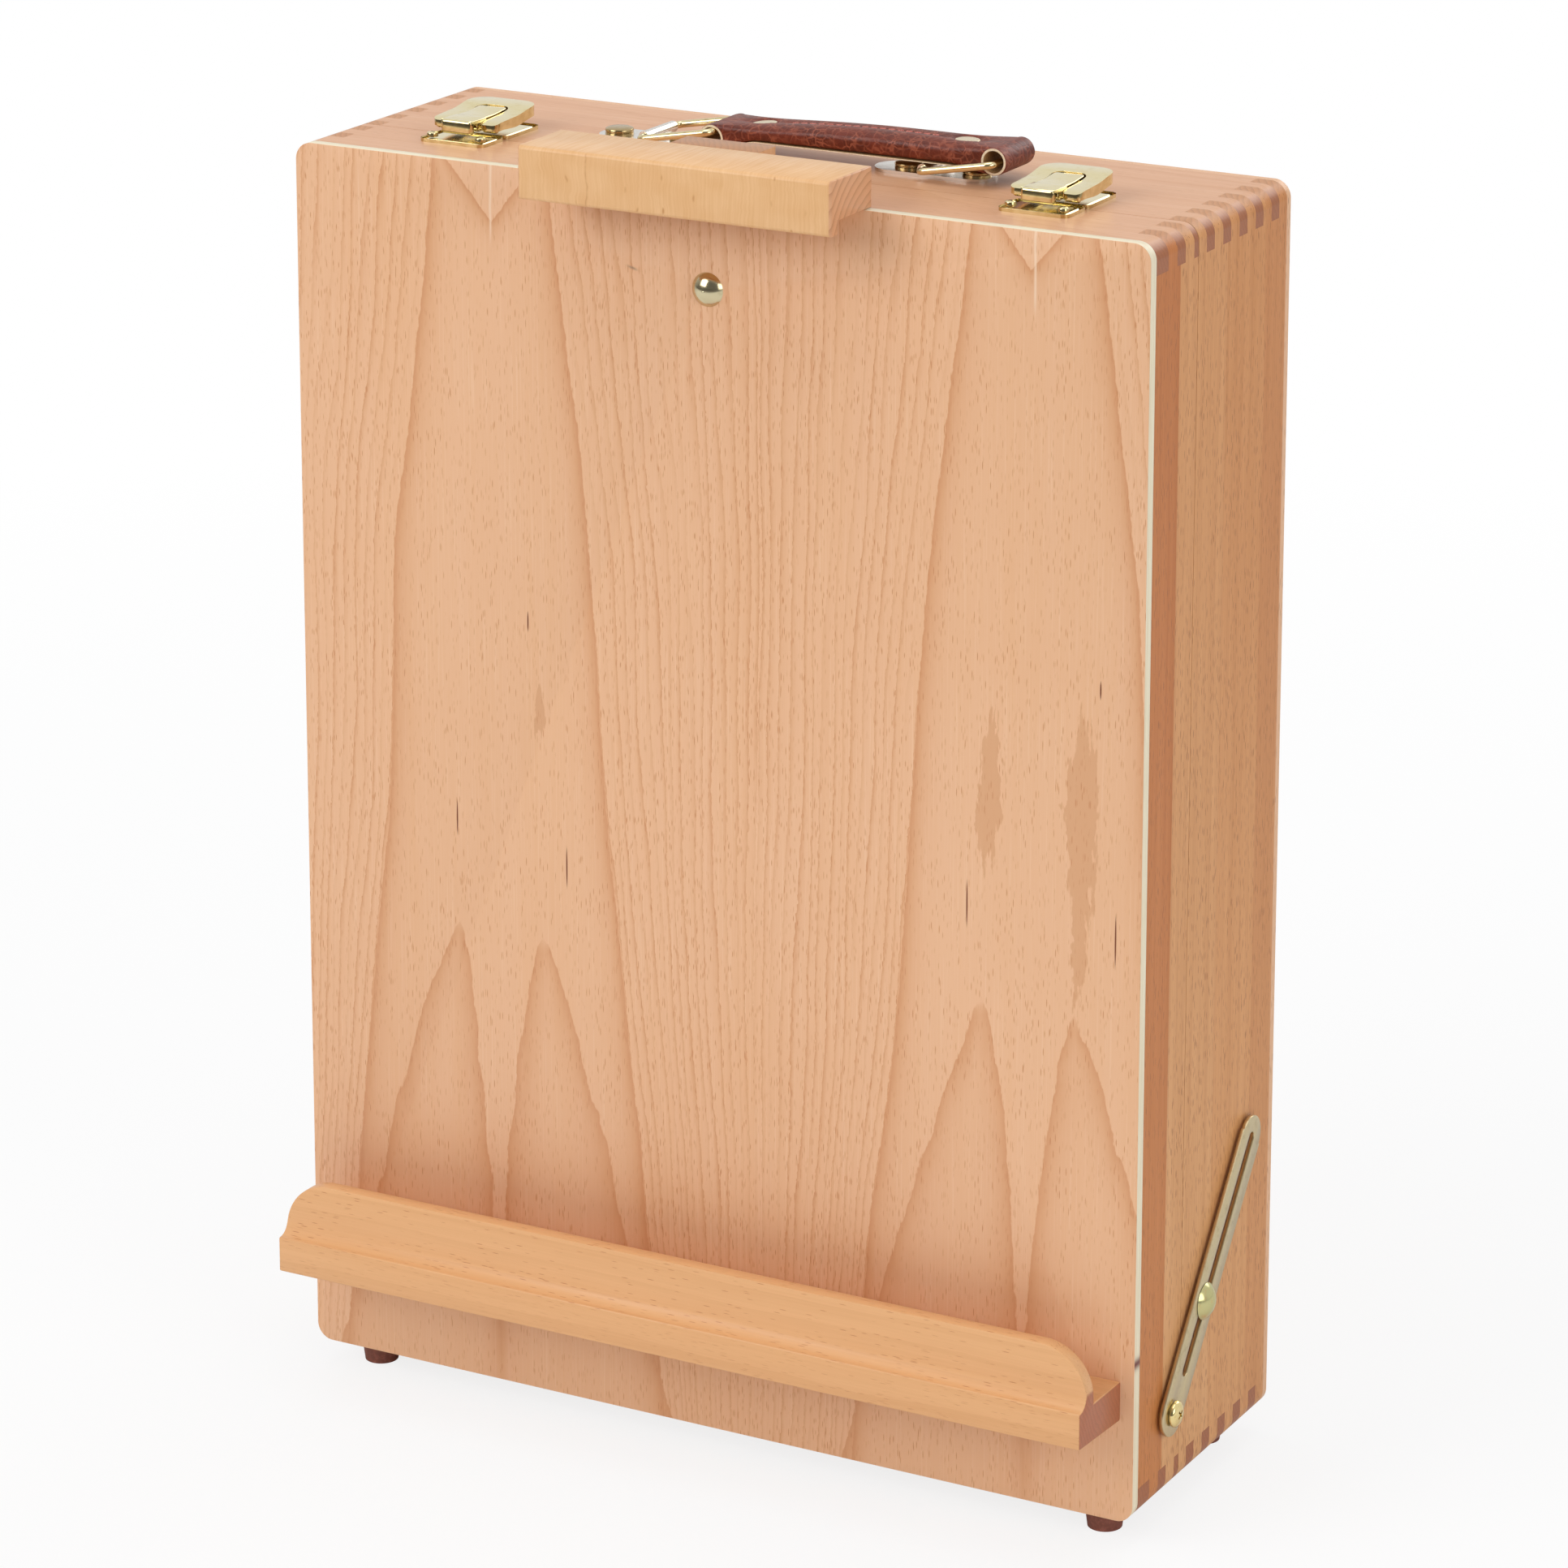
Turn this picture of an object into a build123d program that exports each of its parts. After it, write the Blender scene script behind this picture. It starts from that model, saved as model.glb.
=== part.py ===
"""Tabletop sketch-box easel, closed and standing on its feet.

The box is joined whole with finger joints and then sawn open along a seam. The front part
is the easel: a plywood panel on a shallow frame, with a canvas ledge, and a sliding mast
that carries the canvas clamp. The rear part is the case, with compartments, a back panel,
the carrying handle and the latches. The two parts are hinged along the bottom of the seam
and a slotted stay on each side holds the angle.

Frame: +Z up, +Y to the rear, +X to the right seen from the front. The origin is on the
floor, below the middle of the whole object. All sizes are in millimetres.
"""

from build123d import *
import math
import os

os.makedirs("parts", exist_ok=True)

# Case
box_width = 320.0
box_height = 434.4
board = 10.9
corner_radius = 6.0
panel_thickness = 4.3
lid_frame_depth = 31.35
seam_gap = 0.3
box_frame_depth = 68.85
back_thickness = 3.0

# Finger joints
finger_width = 6.1
finger_pitch = 12.65
finger_least = 2.0
lid_front_finger = 8.8
lid_next_finger = 15.5
box_first_finger = 5.9

# Feet
foot_height = 10.0
foot_top_radius = 7.2
foot_bottom_radius = 5.9
foot_side_inset = 17.0
foot_end_inset = 15.0

# Compartments
divider_thickness = 5.0
divider_depth = 60.0
cross_divider_height = 262.0
lower_divider_x = -38.0
upper_divider_x = 46.0

# Canvas ledge
ledge_length = 310.4
ledge_depth = 30.9
ledge_height = 36.0
ledge_rise = 1.6
ledge_front_height = 12.6
ledge_seat_height = 13.9
lip_thickness = 5.6
lip_setback = 5.2
lip_height = 20.0
lip_end_radius = 17.5
cove_height = 4.6

# Mast and canvas clamp
mast_width = 33.0
mast_thickness = 11.8
mast_below_top = 374.0
mast_above_top = 13.8
mast_travel = 250.0
mast_clearance = 0.3
panel_clearance = 0.2
clamp_length = 116.6
clamp_depth = 28.0
clamp_lip = 5.2
clamp_lip_drop = 4.4
clamp_chamfer = 0.9
guide_width = 14.0
keeper_height = 18.0
keeper_thickness = 5.0
keeper_below_top = 120.0

# Clamping bolt of the mast and wing nuts
bolt_below_top = 33.0
bolt_radius = 2.5
bolt_head_radius = 5.8
bolt_head_height = 3.0
bolt_slot_clearance = 0.3
bolt_stickout = 13.2
screw_fit = 0.05
thread_clearance = 0.1
nut_seat_clearance = 0.3
washer_radius = 8.0
washer_thickness = 1.2
nut_hub_radius = 4.6
nut_hub_height = 7.0
wing_reach = 8.0
wing_lift = 8.0
wing_length = 10.5
wing_height = 8.6
wing_web = 3.6
wing_thickness = 2.0

# Slotted stays, measured from the front and the bottom of the case
stay_pivot_back = 25.4
stay_pivot_up = 30.1
stay_bolt_back = 49.5
stay_bolt_up = 61.0
stay_width = 16.0
stay_thickness = 1.5
stay_gap = 1.2
stay_length = 97.8
stay_tip_radius = 7.2
stay_slot_start = 12.9
stay_slot_end = 99.2
stay_slot_width = 4.0
stay_pin_radius = 2.0
stay_side_clearance = 0.15
pivot_spacer_radius = 4.6
pivot_neck_radius = 3.8
pivot_neck_height = 0.4
pivot_head_radius = 4.5
pivot_head_height = 2.2
pivot_screw_depth = 9.0
stay_bolt_radius = 1.7
stay_bolt_head_radius = 6.4
stay_bolt_head_height = 3.2
stay_bolt_end_gap = 0.2
stay_stud_stickout = 11.6

# Butt hinges below the seam
hinge_spacing = 190.0
hinge_length = 40.0
hinge_leaf_width = 15.0
hinge_leaf_thickness = 1.2
hinge_drop = 2.6
hinge_barrel_radius = 2.2
hinge_pin_radius = 1.2
hinge_middle_length = 16.0
hinge_end_gap = 0.3
hinge_leaf_gap = 2.7
hinge_web_start = 0.3

# Carrying handle
handle_back = 60.0
handle_pivot_spacing = 106.0
handle_ring_length = 27.5
handle_lean = 10.3
ring_wire_radius = 1.25
ring_half_width = 13.5
ring_corner_radius = 2.6
handle_pivot_height = 3.2
bracket_length = 44.0
bracket_width = 15.5
bracket_thickness = 1.2
knuckle_radius = 1.95
knuckle_length = 20.0
knuckle_web = 3.0
bracket_screw_inner = 10.0
bracket_screw_outer = 15.2
bracket_screw_radius = 1.8
bracket_screw_depth = 8.0
bracket_head_radius = 4.9
bracket_head_height = 2.3
strap_width = 21.0
strap_loop_radius = 4.4
strap_underside = 1.9
strap_end_rise = 3.9
strap_crest_rise = 7.6
strap_edge_radius = 2.4
rivet_offset = 38.0
rivet_radius = 5.0
rivet_height = 0.9
rivet_shank_radius = 1.5
rivet_seat_depth = 0.9

# Latches
latch_left_x = -112.0
latch_right_x = 108.7
latch_width = 24.0
latch_plate_height = 2.6
latch_edge_radius = 0.7
catch_depth = 16.9
catch_pocket_depth = 1.2
catch_pocket_length = 3.6
base_depth = 22.2
latch_side_gap = 0.3
pin_ahead = 4.2
pin_height = 4.5
pin_radius = 0.8
latch_knuckle_radius = 1.6
base_tab_half = 4.6
base_tab_thickness = 1.3
base_tab_rear = 6.0
lever_width = 25.6
lever_reach = 27.4
lever_front_thickness = 2.0
lever_rear_rise = 2.3
lever_window_half = 6.6
lever_window_reach = 18.4
lever_window_radius = 3.0
lever_rear_radius = 9.0
lever_front_radius = 0.8
tongue_front_half = 6.0
tongue_rear_half = 5.2
tongue_pin_reach = 13.8
tongue_pin_rise = 1.8
tongue_pin_radius = 0.7
tongue_eye_radius = 1.1
tongue_thickness = 1.0
tongue_tail = 2.4
tongue_clearance = 0.2
hook_ahead = 4.9
hook_thickness = 2.8

# Where the main faces lie
box_depth = panel_thickness + lid_frame_depth + seam_gap + box_frame_depth + back_thickness
y_panel = (ledge_depth - box_depth) / 2
y_lid = y_panel + panel_thickness
y_seam = y_lid + lid_frame_depth
y_box = y_seam + seam_gap
y_rear = y_box + box_frame_depth
y_back = y_rear + back_thickness
z_bottom = foot_height
z_top = z_bottom + box_height
z_middle = (z_bottom + z_top) / 2
z_floor = z_bottom + board
z_roof = z_top - board
x_wall = box_width / 2
x_inner = x_wall - board
y_joint = (y_seam + y_box) / 2

SIDES = ((-1, "left"), (1, "right"))


def finger_spans(start, end, first):
    """Spans in Y of the end-grain fingers of the top and bottom boards."""
    spans = []
    y = first
    while y < end - finger_least:
        spans.append((max(y, start), min(y + finger_width, end)))
        y += finger_pitch
    return spans


def spans_between(spans, start, end):
    """Spans in Y that the given fingers leave for the side boards."""
    edges = [start]
    for span in spans:
        edges.extend(span)
    edges.append(end)
    pairs = zip(edges[0::2], edges[1::2])
    return [pair for pair in pairs if pair[1] - pair[0] > 0.01]


def frame_board(y_front, depth, centre, size, cuts):
    """A board of a frame: a strip of the rounded outline, notched for the crossing fingers.

    centre and size give the strip in X and Z. cuts are the spans in Y where the crossing
    boards pass through the corners.
    """
    with BuildPart() as piece:
        with BuildSketch(Plane.XZ.offset(-y_front)):
            with Locations((0, z_middle)):
                RectangleRounded(box_width, box_height, corner_radius)
            with Locations(centre):
                Rectangle(*size, mode=Mode.INTERSECT)
        extrude(amount=-depth)
        for low, high in cuts:
            for x in (-1, 1):
                for z in (z_floor - board / 2, z_roof + board / 2):
                    with Locations((x * (x_inner + board / 2), (low + high) / 2, z)):
                        Box(board, high - low, board, mode=Mode.SUBTRACT)
    return piece


def outline_sheet(y_front, thickness):
    """A plywood sheet with the rounded outline of the case."""
    with BuildPart() as sheet:
        with BuildSketch(Plane.XZ.offset(-y_front)):
            with Locations((0, z_middle)):
                RectangleRounded(box_width, box_height, corner_radius)
        extrude(amount=-thickness)
    return sheet


def profile_plane(origin, axis, radial):
    """Plane of a turned profile: local X is the radius and local Y runs along the axis."""
    return Plane(origin=origin, x_dir=radial, z_dir=Vector(*radial).cross(Vector(*axis)))


def domed_bolt(seat, axis, radial, head_radius, head_height, shank_radius, shank_length):
    """A round-headed bolt or screw. Its head rises from the seat along axis."""
    ball = (head_radius**2 + head_height**2) / (2 * head_height)
    waist = head_radius * 0.6
    waist_height = head_height - ball + math.sqrt(ball**2 - waist**2)
    with BuildPart() as bolt:
        with BuildSketch(profile_plane(seat, axis, radial)):
            with BuildLine():
                Line((0, 0), (head_radius, 0))
                ThreePointArc((head_radius, 0), (waist, waist_height), (0, head_height))
                Line((0, head_height), (0, 0))
            make_face()
        revolve(axis=Axis(seat, axis))
        with BuildSketch(Plane(origin=seat, x_dir=radial, z_dir=axis)):
            Circle(shank_radius)
        extrude(amount=-shank_length)
    return bolt


def wing_nut(seat, axis, radial, bore_radius):
    """A wing nut with its washer. It grows from the seat along axis, wings along radial."""
    level = Plane(origin=seat, x_dir=radial, z_dir=axis)
    with BuildPart() as nut:
        with BuildSketch(level):
            Circle(washer_radius)
        extrude(amount=washer_thickness)
        with BuildSketch(level):
            Circle(nut_hub_radius)
        extrude(amount=nut_hub_height)
        with BuildSketch(profile_plane(seat, axis, radial)):
            with Locations((wing_reach, wing_lift), (-wing_reach, wing_lift)):
                Ellipse(wing_length / 2, wing_height / 2)
            with Locations((0, nut_hub_height - wing_web / 2)):
                Rectangle(2 * wing_reach, wing_web)
        extrude(amount=wing_thickness / 2, both=True)
        with BuildSketch(level):
            Circle(bore_radius)
        extrude(amount=wing_lift + wing_height, mode=Mode.SUBTRACT)
    return nut


def keep(piece, name):
    """Label a finished piece and write it."""
    piece.part.label = name
    export_step(piece.part, f"parts/{name}.step")


# Lid: the easel part in front of the seam

lid_fingers = [(y_lid, y_lid + lid_front_finger)]
lid_fingers += finger_spans(y_lid, y_seam, y_lid + lid_next_finger)
lid_rests = spans_between(lid_fingers, y_lid, y_seam)

bolt_z = z_top - bolt_below_top
with BuildPart() as lid_panel:
    add(outline_sheet(y_panel, panel_thickness).part)
    with BuildSketch(Plane.XZ.offset(-y_panel)):
        with Locations((0, bolt_z)):
            Circle(bolt_radius + screw_fit)
    extrude(amount=-panel_thickness, mode=Mode.SUBTRACT)
keep(lid_panel, "lid_panel")

pivot_y = y_panel + stay_pivot_back
pivot_z = z_bottom + stay_pivot_up
for side, name in SIDES:
    wall = frame_board(
        y_lid, lid_frame_depth, (side * (x_wall - board / 2), z_middle), (board, box_height), lid_fingers
    )
    with BuildPart() as lid_side_wall:
        add(wall.part)
        with BuildSketch(Plane.YZ.offset(side * x_wall)):
            with Locations((pivot_y, pivot_z)):
                Circle(stay_pin_radius + screw_fit)
        extrude(amount=-side * (pivot_screw_depth + screw_fit), mode=Mode.SUBTRACT)
    keep(lid_side_wall, f"lid_{name}_wall")

guide_depth = panel_clearance + mast_thickness + mast_clearance
with BuildPart() as lid_top_wall:
    add(frame_board(y_lid, lid_frame_depth, (0, z_top - board / 2), (box_width, board), lid_rests).part)
    with Locations((0, y_lid + guide_depth / 2, z_top - board / 2)):
        Box(mast_width + 2 * mast_clearance, guide_depth, board, mode=Mode.SUBTRACT)
keep(lid_top_wall, "lid_top_wall")

lid_bottom_wall = frame_board(
    y_lid, lid_frame_depth, (0, z_bottom + board / 2), (box_width, board), lid_rests
)
keep(lid_bottom_wall, "lid_bottom_wall")

# Two battens guide the mast behind the panel, and a slat across them keeps it there.
for side, name in SIDES:
    with BuildPart() as mast_guide:
        with Locations((side * (mast_width / 2 + mast_clearance + guide_width / 2),
                        y_lid + guide_depth / 2, z_middle)):
            Box(guide_width, guide_depth, box_height - 2 * board)
    keep(mast_guide, f"mast_guide_{name}")

with BuildPart() as mast_keeper:
    with Locations((0, y_lid + guide_depth + keeper_thickness / 2, z_top - keeper_below_top)):
        Box(mast_width + 2 * mast_clearance + 2 * guide_width, keeper_thickness, keeper_height)
    fillet(mast_keeper.faces().sort_by(Axis.Y)[-1].edges(), radius=1.0)
keep(mast_keeper, "mast_keeper")

# The canvas ledge: a rail with an upstanding lip, hollowed to a cove where they meet in front.
rail_z = z_bottom + ledge_height
rail_front = y_panel - ledge_depth
lip_front = rail_front + lip_setback
lip_back = lip_front + lip_thickness
seat_z = rail_z + ledge_seat_height
front_z = rail_z + ledge_rise + ledge_front_height
with BuildPart() as ledge:
    with BuildSketch(Plane.YZ.offset(-ledge_length / 2)):
        with BuildLine():
            Polyline((y_panel, seat_z), (y_panel, rail_z), (rail_front, rail_z + ledge_rise),
                     (rail_front, front_z))
            ThreePointArc((rail_front, front_z),
                          (rail_front + 0.72 * lip_setback, front_z + 0.28 * cove_height),
                          (lip_front, front_z + cove_height))
            Polyline((lip_front, front_z + cove_height), (lip_front, seat_z + lip_height),
                     (lip_back, seat_z + lip_height), (lip_back, seat_z), (y_panel, seat_z))
        make_face()
    extrude(amount=ledge_length)
    with BuildSketch(Plane.XZ.offset(-y_panel)) as ledge_outline:
        with Locations((0, (rail_z + seat_z + lip_height) / 2)):
            Rectangle(ledge_length, seat_z + lip_height - rail_z)
        fillet(ledge_outline.vertices().group_by(Axis.Y)[-1], radius=lip_end_radius)
    extrude(amount=ledge_depth, mode=Mode.INTERSECT)
keep(ledge, "ledge")

for side, name in SIDES:
    with BuildPart() as foot_front:
        with Locations((side * (x_wall - foot_side_inset), y_panel + foot_end_inset, foot_height / 2)):
            Cone(foot_bottom_radius, foot_top_radius, foot_height)
    keep(foot_front, f"foot_front_{name}")

mast_bolt = domed_bolt(
    (0, y_panel, bolt_z), (0, -1, 0), (1, 0, 0), bolt_head_radius, bolt_head_height, bolt_radius,
    panel_thickness + guide_depth + bolt_stickout,
)
keep(mast_bolt, "mast_bolt")

# Mast with the canvas clamp

mast_front = y_lid + panel_clearance
mast_top = z_top + mast_above_top
mast_slot_half = bolt_radius + bolt_slot_clearance
with BuildPart() as mast:
    with BuildSketch(Plane.XZ.offset(-mast_front)):
        with Locations((0, z_top + (mast_above_top - mast_below_top) / 2)):
            Rectangle(mast_width, mast_below_top + mast_above_top)
        with Locations((0, bolt_z - mast_travel / 2)):
            SlotCenterToCenter(mast_travel, 2 * mast_slot_half, rotation=90, mode=Mode.SUBTRACT)
    extrude(amount=-mast_thickness)
    chamfer(mast.faces().sort_by(Axis.Z)[0].edges(), length=1.0)
keep(mast, "mast")

clamp_front = mast_front - clamp_depth
clamp_seat = z_top + panel_clearance
with BuildPart() as clamp_bar:
    with BuildSketch(Plane.YZ.offset(-clamp_length / 2)):
        with BuildLine():
            Polyline((mast_front, clamp_seat), (clamp_front + clamp_lip, clamp_seat),
                     (clamp_front + clamp_lip, z_top - clamp_lip_drop),
                     (clamp_front, z_top - clamp_lip_drop), (clamp_front, mast_top),
                     (mast_front, mast_top), close=True)
        make_face()
    extrude(amount=clamp_length)
    chamfer(clamp_bar.faces().sort_by(Axis.Y)[0].edges(), length=clamp_chamfer)
keep(clamp_bar, "clamp_bar")

mast_nut = wing_nut(
    (0, mast_front + mast_thickness + nut_seat_clearance, bolt_z), (0, 1, 0), (1, 0, 0),
    bolt_radius + thread_clearance,
)
keep(mast_nut, "mast_nut")

# Case: the rear part behind the seam

box_fingers = finger_spans(y_box, y_rear, y_box + box_first_finger)
box_rests = spans_between(box_fingers, y_box, y_rear)

stud_y = y_panel + stay_bolt_back
stud_z = z_bottom + stay_bolt_up
for side, name in SIDES:
    wall = frame_board(
        y_box, box_frame_depth, (side * (x_wall - board / 2), z_middle), (board, box_height), box_fingers
    )
    with BuildPart() as box_side_wall:
        add(wall.part)
        with BuildSketch(Plane.YZ.offset(side * x_wall)):
            with Locations((stud_y, stud_z)):
                Circle(stay_bolt_radius + screw_fit)
        extrude(amount=-side * board, mode=Mode.SUBTRACT)
    keep(box_side_wall, f"box_{name}_wall")

handle_y = y_panel + handle_back
bracket_screws = []
for side, name in SIDES:
    pivot_x = side * handle_pivot_spacing / 2
    bracket_screws.append((pivot_x - side * bracket_screw_inner, f"{name}_inner"))
    bracket_screws.append((pivot_x + side * bracket_screw_outer, f"{name}_outer"))

with BuildPart() as box_top_wall:
    add(frame_board(y_box, box_frame_depth, (0, z_top - board / 2), (box_width, board), box_rests).part)
    with BuildSketch(Plane.XY.offset(z_top)):
        with Locations(*[(x, handle_y) for x, _ in bracket_screws]):
            Circle(bracket_screw_radius + screw_fit)
    extrude(amount=-(bracket_screw_depth + screw_fit), mode=Mode.SUBTRACT)
keep(box_top_wall, "box_top_wall")

box_bottom_wall = frame_board(
    y_box, box_frame_depth, (0, z_bottom + board / 2), (box_width, board), box_rests
)
keep(box_bottom_wall, "box_bottom_wall")

box_back = outline_sheet(y_rear, back_thickness)
keep(box_back, "box_back")

# Dividers stand on the back panel and stop short of the seam.
cross_z = z_floor + cross_divider_height
divider_y = y_rear - divider_depth / 2
with BuildPart() as divider_cross:
    with Locations((0, divider_y, cross_z)):
        Box(2 * x_inner, divider_depth, divider_thickness)
keep(divider_cross, "divider_cross")

cross_low = cross_z - divider_thickness / 2
with BuildPart() as divider_lower:
    with Locations((lower_divider_x, divider_y, (z_floor + cross_low) / 2)):
        Box(divider_thickness, divider_depth, cross_low - z_floor)
keep(divider_lower, "divider_lower")

cross_high = cross_z + divider_thickness / 2
with BuildPart() as divider_upper:
    with Locations((upper_divider_x, divider_y, (cross_high + z_roof) / 2)):
        Box(divider_thickness, divider_depth, z_roof - cross_high)
keep(divider_upper, "divider_upper")

for side, name in SIDES:
    with BuildPart() as foot_rear:
        with Locations((side * (x_wall - foot_side_inset), y_back - foot_end_inset, foot_height / 2)):
            Cone(foot_bottom_radius, foot_top_radius, foot_height)
    keep(foot_rear, f"foot_rear_{name}")

# Stays: each turns on a shouldered screw in the lid and slides past a bolt in the case

stay_angle = math.atan2(stud_z - pivot_z, stud_y - pivot_y)
stay_along = (0, math.cos(stay_angle), math.sin(stay_angle))
for side, name in SIDES:
    out = (side, 0, 0)
    stay_face = x_wall + stay_gap
    with BuildPart() as stay:
        with BuildSketch(Plane(origin=(side * stay_face, pivot_y, pivot_z), x_dir=stay_along, z_dir=out)):
            Circle(stay_width / 2)
            with Locations((stay_length / 2, 0)):
                Rectangle(stay_length, stay_width)
            with Locations((stay_length, 0)):
                Circle(stay_tip_radius)
            with Locations(((stay_slot_start + stay_slot_end) / 2, 0)):
                SlotOverall(stay_slot_end - stay_slot_start, stay_slot_width, mode=Mode.SUBTRACT)
            Circle(stay_pin_radius + thread_clearance, mode=Mode.SUBTRACT)
        extrude(amount=stay_thickness)
    keep(stay, f"stay_{name}")

    neck = stay_gap + stay_thickness + stay_side_clearance
    with BuildPart() as stay_pivot:
        with BuildSketch(Plane.YZ.offset(side * (x_wall - pivot_screw_depth))):
            with Locations((pivot_y, pivot_z)):
                Circle(stay_pin_radius)
        extrude(amount=side * (pivot_screw_depth + neck))
        with BuildSketch(Plane.YZ.offset(side * x_wall)):
            with Locations((pivot_y, pivot_z)):
                Circle(pivot_spacer_radius)
        extrude(amount=side * (stay_gap - stay_side_clearance))
        with BuildSketch(Plane.YZ.offset(side * (x_wall + neck))):
            with Locations((pivot_y, pivot_z)):
                Circle(pivot_neck_radius)
        extrude(amount=side * pivot_neck_height)
        with BuildSketch(Plane.YZ.offset(side * (x_wall + neck + pivot_neck_height))):
            with Locations((pivot_y, pivot_z)):
                Circle(pivot_head_radius)
        extrude(amount=side * pivot_head_height)
        rim = stay_pivot.faces().sort_by(Axis.X)[-1 if side > 0 else 0]
        fillet(rim.edges(), radius=0.6 * pivot_head_height)
    keep(stay_pivot, f"stay_pivot_{name}")

    # The bolt is drawn in two pieces: the headed end rides in the slot, and the threaded
    # end stays in the wall below it.
    head_seat = x_wall + stay_gap + stay_thickness + stay_side_clearance
    stay_bolt = domed_bolt(
        (side * head_seat, stud_y, stud_z), out, (0, 1, 0), stay_bolt_head_radius,
        stay_bolt_head_height, stay_bolt_radius, head_seat - x_wall - stay_bolt_end_gap,
    )
    keep(stay_bolt, f"stay_bolt_{name}")

    with BuildPart() as stay_stud:
        with BuildSketch(Plane.YZ.offset(side * x_wall)):
            with Locations((stud_y, stud_z)):
                Circle(stay_bolt_radius)
        extrude(amount=-side * (board + stay_stud_stickout))
    keep(stay_stud, f"stay_stud_{name}")

    stay_nut = wing_nut(
        (side * (x_inner - nut_seat_clearance), stud_y, stud_z), (-side, 0, 0), (0, 0, 1),
        stay_bolt_radius + thread_clearance,
    )
    keep(stay_nut, f"stay_nut_{name}")

# Butt hinges: the case's leaf holds the pin, the lid's leaf has the middle knuckle

hinge_z = z_bottom - hinge_drop
knuckle_end = (hinge_length - hinge_middle_length) / 2 - hinge_end_gap
for side, name in SIDES:
    hinge_x = side * hinge_spacing / 2
    leaf_z = z_bottom - hinge_leaf_thickness / 2
    with BuildPart() as hinge_box_leaf:
        with Locations((hinge_x, y_joint + (hinge_leaf_gap + hinge_leaf_width) / 2, leaf_z)):
            Box(hinge_length, hinge_leaf_width - hinge_leaf_gap, hinge_leaf_thickness)
        for end in (-1, 1):
            end_x = hinge_x + end * (hinge_length - knuckle_end) / 2
            with Locations((end_x, y_joint + (hinge_web_start + hinge_leaf_gap) / 2 + 0.1, leaf_z)):
                Box(knuckle_end, hinge_leaf_gap - hinge_web_start + 0.2, hinge_leaf_thickness)
            with Locations(Location((end_x, y_joint, hinge_z), (0, 90, 0))):
                Cylinder(hinge_barrel_radius, knuckle_end)
        with Locations(Location((hinge_x, y_joint, hinge_z), (0, 90, 0))):
            Cylinder(hinge_pin_radius, hinge_length)
    keep(hinge_box_leaf, f"hinge_box_leaf_{name}")

    with BuildPart() as hinge_lid_leaf:
        with Locations((hinge_x, y_joint - (hinge_leaf_gap + hinge_leaf_width) / 2, leaf_z)):
            Box(hinge_length, hinge_leaf_width - hinge_leaf_gap, hinge_leaf_thickness)
        with Locations((hinge_x, y_joint - (hinge_web_start + hinge_leaf_gap) / 2 - 0.1, leaf_z)):
            Box(hinge_middle_length, hinge_leaf_gap - hinge_web_start + 0.2, hinge_leaf_thickness)
        with Locations(Location((hinge_x, y_joint, hinge_z), (0, 90, 0))):
            Cylinder(hinge_barrel_radius, hinge_middle_length)
            Cylinder(hinge_pin_radius + thread_clearance, hinge_length, mode=Mode.SUBTRACT)
    keep(hinge_lid_leaf, f"hinge_lid_leaf_{name}")

# Carrying handle: a leather strap between two wire rings that swing in knuckles

lean = math.radians(handle_lean)
ring_run = handle_ring_length * math.cos(lean)
ring_rise = handle_ring_length * math.sin(lean)
ring_z = z_top + handle_pivot_height
for side, name in SIDES:
    pivot_x = side * handle_pivot_spacing / 2
    with BuildPart() as bracket:
        with BuildSketch(Plane.XY.offset(z_top)):
            with Locations((pivot_x, handle_y)):
                SlotOverall(bracket_length, bracket_width)
        extrude(amount=bracket_thickness)
        with Locations((pivot_x, handle_y, (z_top + ring_z) / 2)):
            Box(knuckle_web, bracket_width, handle_pivot_height)
        with Locations(Location((pivot_x, handle_y, ring_z), (90, 0, 0))):
            Cylinder(knuckle_radius, knuckle_length)
            Cylinder(ring_wire_radius + thread_clearance, knuckle_length, mode=Mode.SUBTRACT)
        with BuildSketch(Plane.XY.offset(z_top)):
            with Locations((pivot_x - side * bracket_screw_inner, handle_y),
                           (pivot_x + side * bracket_screw_outer, handle_y)):
                Circle(bracket_screw_radius + screw_fit)
        extrude(amount=bracket_thickness, mode=Mode.SUBTRACT)
    keep(bracket, f"handle_bracket_{name}")

    near = pivot_x
    far = pivot_x + ring_run
    mid_x = (near + far) / 2
    mid_z = ring_z + ring_rise / 2
    front = handle_y - ring_half_width
    rear = handle_y + ring_half_width
    with BuildPart() as ring:
        for end_x, end_z in ((near, ring_z), (far, ring_z + ring_rise)):
            with BuildLine() as wire:
                FilletPolyline((mid_x, front, mid_z), (end_x, front, end_z), (end_x, rear, end_z),
                               (mid_x, rear, mid_z), radius=ring_corner_radius)
            with BuildSketch(Plane(origin=wire.line @ 0, z_dir=wire.line % 0)):
                Circle(ring_wire_radius)
            sweep(path=wire.line)
    keep(ring, f"handle_ring_{name}")

for x, name in bracket_screws:
    bracket_screw = domed_bolt(
        (x, handle_y, z_top + bracket_thickness), (0, 0, 1), (1, 0, 0), bracket_head_radius,
        bracket_head_height, bracket_screw_radius, bracket_thickness + bracket_screw_depth,
    )
    keep(bracket_screw, f"handle_screw_{name}")

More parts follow.
